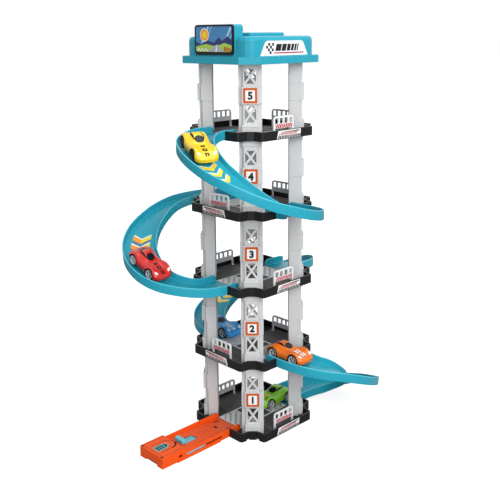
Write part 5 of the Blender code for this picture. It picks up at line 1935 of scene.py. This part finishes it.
    def wheels(self, end: str) -> None:
        """One axle's wheels: tyres, silver rims with five spokes, dark wells and the axle.

        Args:
            end: front or rear.
        """
        form = Form(f"{self.name}_{end}_wheel_set")
        outer, inner = self.wheel_outer, self.wheel_outer - self.wheel_width
        radius, metal = self.wheel_radius, self.style.rim
        tyre = ((0.0054, outer - 0.0004), (0.0057, outer), (0.0063, outer - 0.0001), (radius, outer - 0.0009))
        tyre += ((radius, inner + 0.0012), (0.0064, inner + 0.0003), (0.0058, inner), (0.0050, inner))
        rim = ((0.0056, outer - 0.0003), (0.0054, outer), (0.0048, outer - 0.0002), (0.0046, outer - 0.0008))
        rim += ((0.0046, outer - 0.0024),)
        well = ((0.0047, outer - 0.0022), (0.0012, outer - 0.0025), (0.0001, outer - 0.0025))
        back = ((0.0051, inner), (0.0008, inner + 0.0003), (0.0008, 0.0))
        for side in (-1, 1):
            turns = [2 * math.pi * index / 36 * side for index in range(36)]
            for profile, finish in ((tyre, TYRE), (rim, metal), (well, HUB_DARK), (back, CHASSIS)):
                rows = [[Vector((r * math.cos(t), side * y, r * math.sin(t))) for t in turns] for r, y in profile]
                form.grid(rows, finish, closed=True)
            face = Matrix(((1, 0, 0, 0), (0, 0, side, 0), (0, 1, 0, 0), (0, 0, 0, 1)))
            for index in range(5):
                spin = Matrix.Rotation(2 * math.pi * index / 5 + self.spoke_turn, 4, "Y")
                form.slab(self.SPOKE, outer - self.spoke_low, outer - self.spoke_high, spin @ face, metal)
            cap = disc((0.0, 0.0), self.cap_radius, 16)
            form.slab(cap, outer - self.cap_low, outer - self.cap_high, face, metal)
        ahead = self.axle if end == "front" else -self.axle
        matrix = self.place() @ Matrix.Translation((ahead, 0.0, self.wheel_radius))
        form.corners = [matrix @ corner for corner in form.corners]
        body = f"{self.name}_{end}_wheels"
        piece = form.build(body, "wheel_plastic", smooth=self.wheel_smooth)
        face_out(piece.data)
        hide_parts(body)

    def build(self) -> None:
        """Make the car at its place on the tower."""
        place = self.place()
        pieces = [self.shell(), self.glazing(), self.lamps(), self.marks()]
        for piece in pieces:
            piece.data.transform(place)
            self.name
        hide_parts(f"{self.name}_body")
        self.wheels("front")
        self.wheels("rear")


@dataclass
class Studio:
    """Pale floor, soft lights and the camera at the photograph's viewing angle."""

    azimuth: float = 45.68
    distance: float = 0.9115
    height: float = 0.4784
    yaw: float = 0.109
    pitch: float = 11.573
    roll: float = -0.496
    focal_pixels: float = 768.2
    frame_pixels: float = 500.0
    aside_pixels: float = 0.2
    raised_pixels: float = -58.5
    sensor: float = 36.0
    floor_half: float = 6.0
    floor_tone: float = 0.36
    white_near: float = 0.84
    white_far: float = 1.0
    shadow_reach: float = 0.40
    white_reach: float = 0.95
    ambient: float = 0.20
    ambient_lean: float = 0.85
    brightest: tuple[float, float, float] = (0.52, -0.05, 0.85)
    target: float = 0.24

    LAMPS = (
        ("key", (1.34, -0.42, 0.90), 0.8, 12.2),
        ("fill", (0.95, -1.20, 0.55), 1.0, 5.3),
        ("top", (0.30, 0.05, 1.70), 1.0, 8.5),
    )

    def camera(self) -> None:
        """Make the camera."""
        data = bpy.data.cameras.new("camera")
        data.sensor_width = self.sensor
        data.lens = self.focal_pixels / self.frame_pixels * self.sensor
        data.shift_x = -self.aside_pixels / self.frame_pixels
        data.shift_y = self.raised_pixels / self.frame_pixels
        data.clip_start, data.clip_end = 0.01, 20.0
        around = math.radians(self.azimuth)
        look, tilt, spin = around + math.radians(self.yaw), math.radians(self.pitch), math.radians(self.roll)
        flat = Vector((-math.sin(look), math.cos(look), 0.0))
        forward = flat * math.cos(tilt) - Vector((0.0, 0.0, math.sin(tilt)))
        right = forward.cross(Vector((0.0, 0.0, 1.0))).normalized()
        up = right.cross(forward)
        across = math.cos(spin) * right + math.sin(spin) * up
        above = -math.sin(spin) * right + math.cos(spin) * up
        matrix = Matrix((across, above, -forward)).transposed().to_4x4()
        stand = (math.sin(around) * self.distance, -math.cos(around) * self.distance, self.height)
        matrix.translation = Vector(stand)
        camera = linked("camera", data)
        camera.matrix_world = matrix
        bpy.context.scene.camera = camera

    def floor(self) -> None:
        """Make the floor, which looks white to the camera where no shadow falls."""
        mesh, half = bpy.data.meshes.new("floor"), self.floor_half
        mesh.from_pydata([(x, y, 0) for x, y in rectangle(-half, -half, half, half)], [], [(0, 1, 2, 3)])
        material = bpy.data.materials.new("pale_floor")
        material.use_nodes = True
        graph = Graph(material.node_tree)
        place = graph.add("TexCoord").outputs["Object"]
        inputs = {"Value": graph.add("VectorMath", {0: place}, operation="LENGTH").outputs["Value"]}
        inputs |= {"From Min": self.shadow_reach, "From Max": self.white_reach}
        inputs |= {"To Min": self.white_near, "To Max": self.white_far}
        fade = graph.add("MapRange", inputs, interpolation_type="SMOOTHSTEP").outputs["Result"]
        seen = graph.add("LightPath").outputs["Is Camera Ray"]
        inputs = {"Base Color": (self.floor_tone, self.floor_tone, self.floor_tone, 1.0), "Roughness": 0.85}
        inputs |= {"Specular IOR Level": 0.0, "Emission Color": (1.0, 1.0, 1.0, 1.0)}
        inputs |= {"Emission Strength": graph.math("MULTIPLY", seen, fade)}
        graph.feed(graph.tree.nodes["Principled BSDF"], inputs)
        mesh.materials.append(material)
        linked("floor", mesh)

    def world(self) -> None:
        """Make the surroundings: white to the camera and in reflections, softer as a light."""
        world = bpy.data.worlds.new("studio")
        bpy.context.scene.world = world
        world.use_nodes = True
        graph = Graph(world.node_tree)
        rays = graph.add("LightPath").outputs
        place = graph.add("TexCoord").outputs["Generated"]
        lean = graph.add("VectorMath", {0: place, 1: self.brightest}, operation="DOT_PRODUCT").outputs["Value"]
        light = graph.math("MULTIPLY_ADD", lean, self.ambient_lean, self.ambient, use_clamp=True)
        seen = graph.math("MAXIMUM", rays["Is Camera Ray"], rays["Is Transmission Ray"])
        seen = graph.math("MAXIMUM", seen, rays["Is Glossy Ray"])
        level = graph.add("MapRange", {"Value": seen, "To Min": light, "To Max": 1.0}).outputs["Result"]
        graph.feed(graph.tree.nodes["Background"], {"Color": (1.0, 1.0, 1.0, 1.0), "Strength": level})

    def lamp(self, name: str, place: tuple[float, float, float], size: float, power: float) -> None:
        """Make one soft square lamp that looks at the tower's middle.

        Args:
            name: its name.
            place: where it stands.
            size: its side.
            power: its power in watts.
        """
        data = bpy.data.lights.new(name, "AREA")
        data.shape, data.size, data.energy = "SQUARE", size, power
        lamp = linked(name, data)
        lamp.location = place
        lamp.rotation_euler = (Vector((0.0, 0.0, self.target)) - Vector(place)).to_track_quat("-Z", "Y").to_euler()

    def build(self) -> None:
        """Make the camera, the floor, the surroundings and the lamps."""
        self.camera()
        self.floor()
        self.world()
        for name, place, size, power in self.LAMPS:
            self.lamp(name, place, size, power)
        bpy.context.scene.view_settings.view_transform = "Standard"


NODE_FINISHES = {
    "tray": TRAY, "column": COLUMN, "ramp": TRACK, "roof_cap": TRACK, "roof_screen": BEZEL,
    "launcher_housing": LAUNCHER, "launcher_slider": SLIDER, "launcher_spring": STEEL,
}
CARS = (
    CarStyle("yellow", (0.82, 0.54, 0.010), (0.86, 0.60, 0.015), Marks.RING_AND_BARS, BLACK_INK, RIM_GRAPHITE),
    CarStyle("red", (0.58, 0.020, 0.014), (0.64, 0.030, 0.018), Marks.RING_AND_BARS, BLACK_INK),
    CarStyle("blue", (0.020, 0.29, 0.74), (0.04, 0.37, 0.84), Marks.RING, WHITE_INK),
    CarStyle("orange", (0.74, 0.15, 0.010), (0.80, 0.19, 0.015), Marks.PAIR, WHITE_INK),
    CarStyle("green", (0.22, 0.66, 0.020), (0.30, 0.75, 0.04), Marks.STRIPE, YELLOW_INK),
)
CHEVRONS = (
    *(Chevron(f"chevron_a_{index}", 0, 0.0885 + 0.0100 * index) for index in range(3)),
    *(
        Chevron(f"chevron_b_{index}", 1, 0.1270 + 0.0120 * index, 0.0058, 0.0065, outer=GOLD_INK, shadow=0.0030)
        for index in range(2)
    ),
    *(Chevron(f"chevron_c_{index}", 2, 0.1750 + 0.0100 * index) for index in range(2)),
)


def dress_frame() -> None:
    """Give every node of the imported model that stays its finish."""
    for name, node in sorted(frame["nodes"].items()):
        finish = next((chosen for start, chosen in NODE_FINISHES.items() if name.startswith(start)), TYRE)
        if name.startswith("rail"):
            _, floor, side = name.split("_")
            finish = RAIL_WHITE if WHITE_RAILS[int(floor)].name.lower() == side else RAIL_GREY
        if not node.material_slots:
            node.data.materials.append(finish.material())
        for place in node.material_slots:
            place.material = finish.material()
        log.info("%s: %s", name, finish.name)


def main() -> None:
    """Dress the tower, piece by piece."""
    logging.basicConfig(level=logging.INFO, format="%(message)s")
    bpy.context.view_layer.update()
    Studio().build()
    dress_frame()
    for floor in range(1, 6):
        for dress in (Deck, NumberPlate, FootTrim, RailPanel, RimPrint):
            dress(floor).build()
    track = Track()
    for index in range(4):
        Ramp(index, track).build()
    for chevron in CHEVRONS:
        chevron.build(track)
    RoofDress().build()
    LauncherDress().build()
    for style in CARS:
        Car(style).build()


if __name__ == "__main__":
    main()
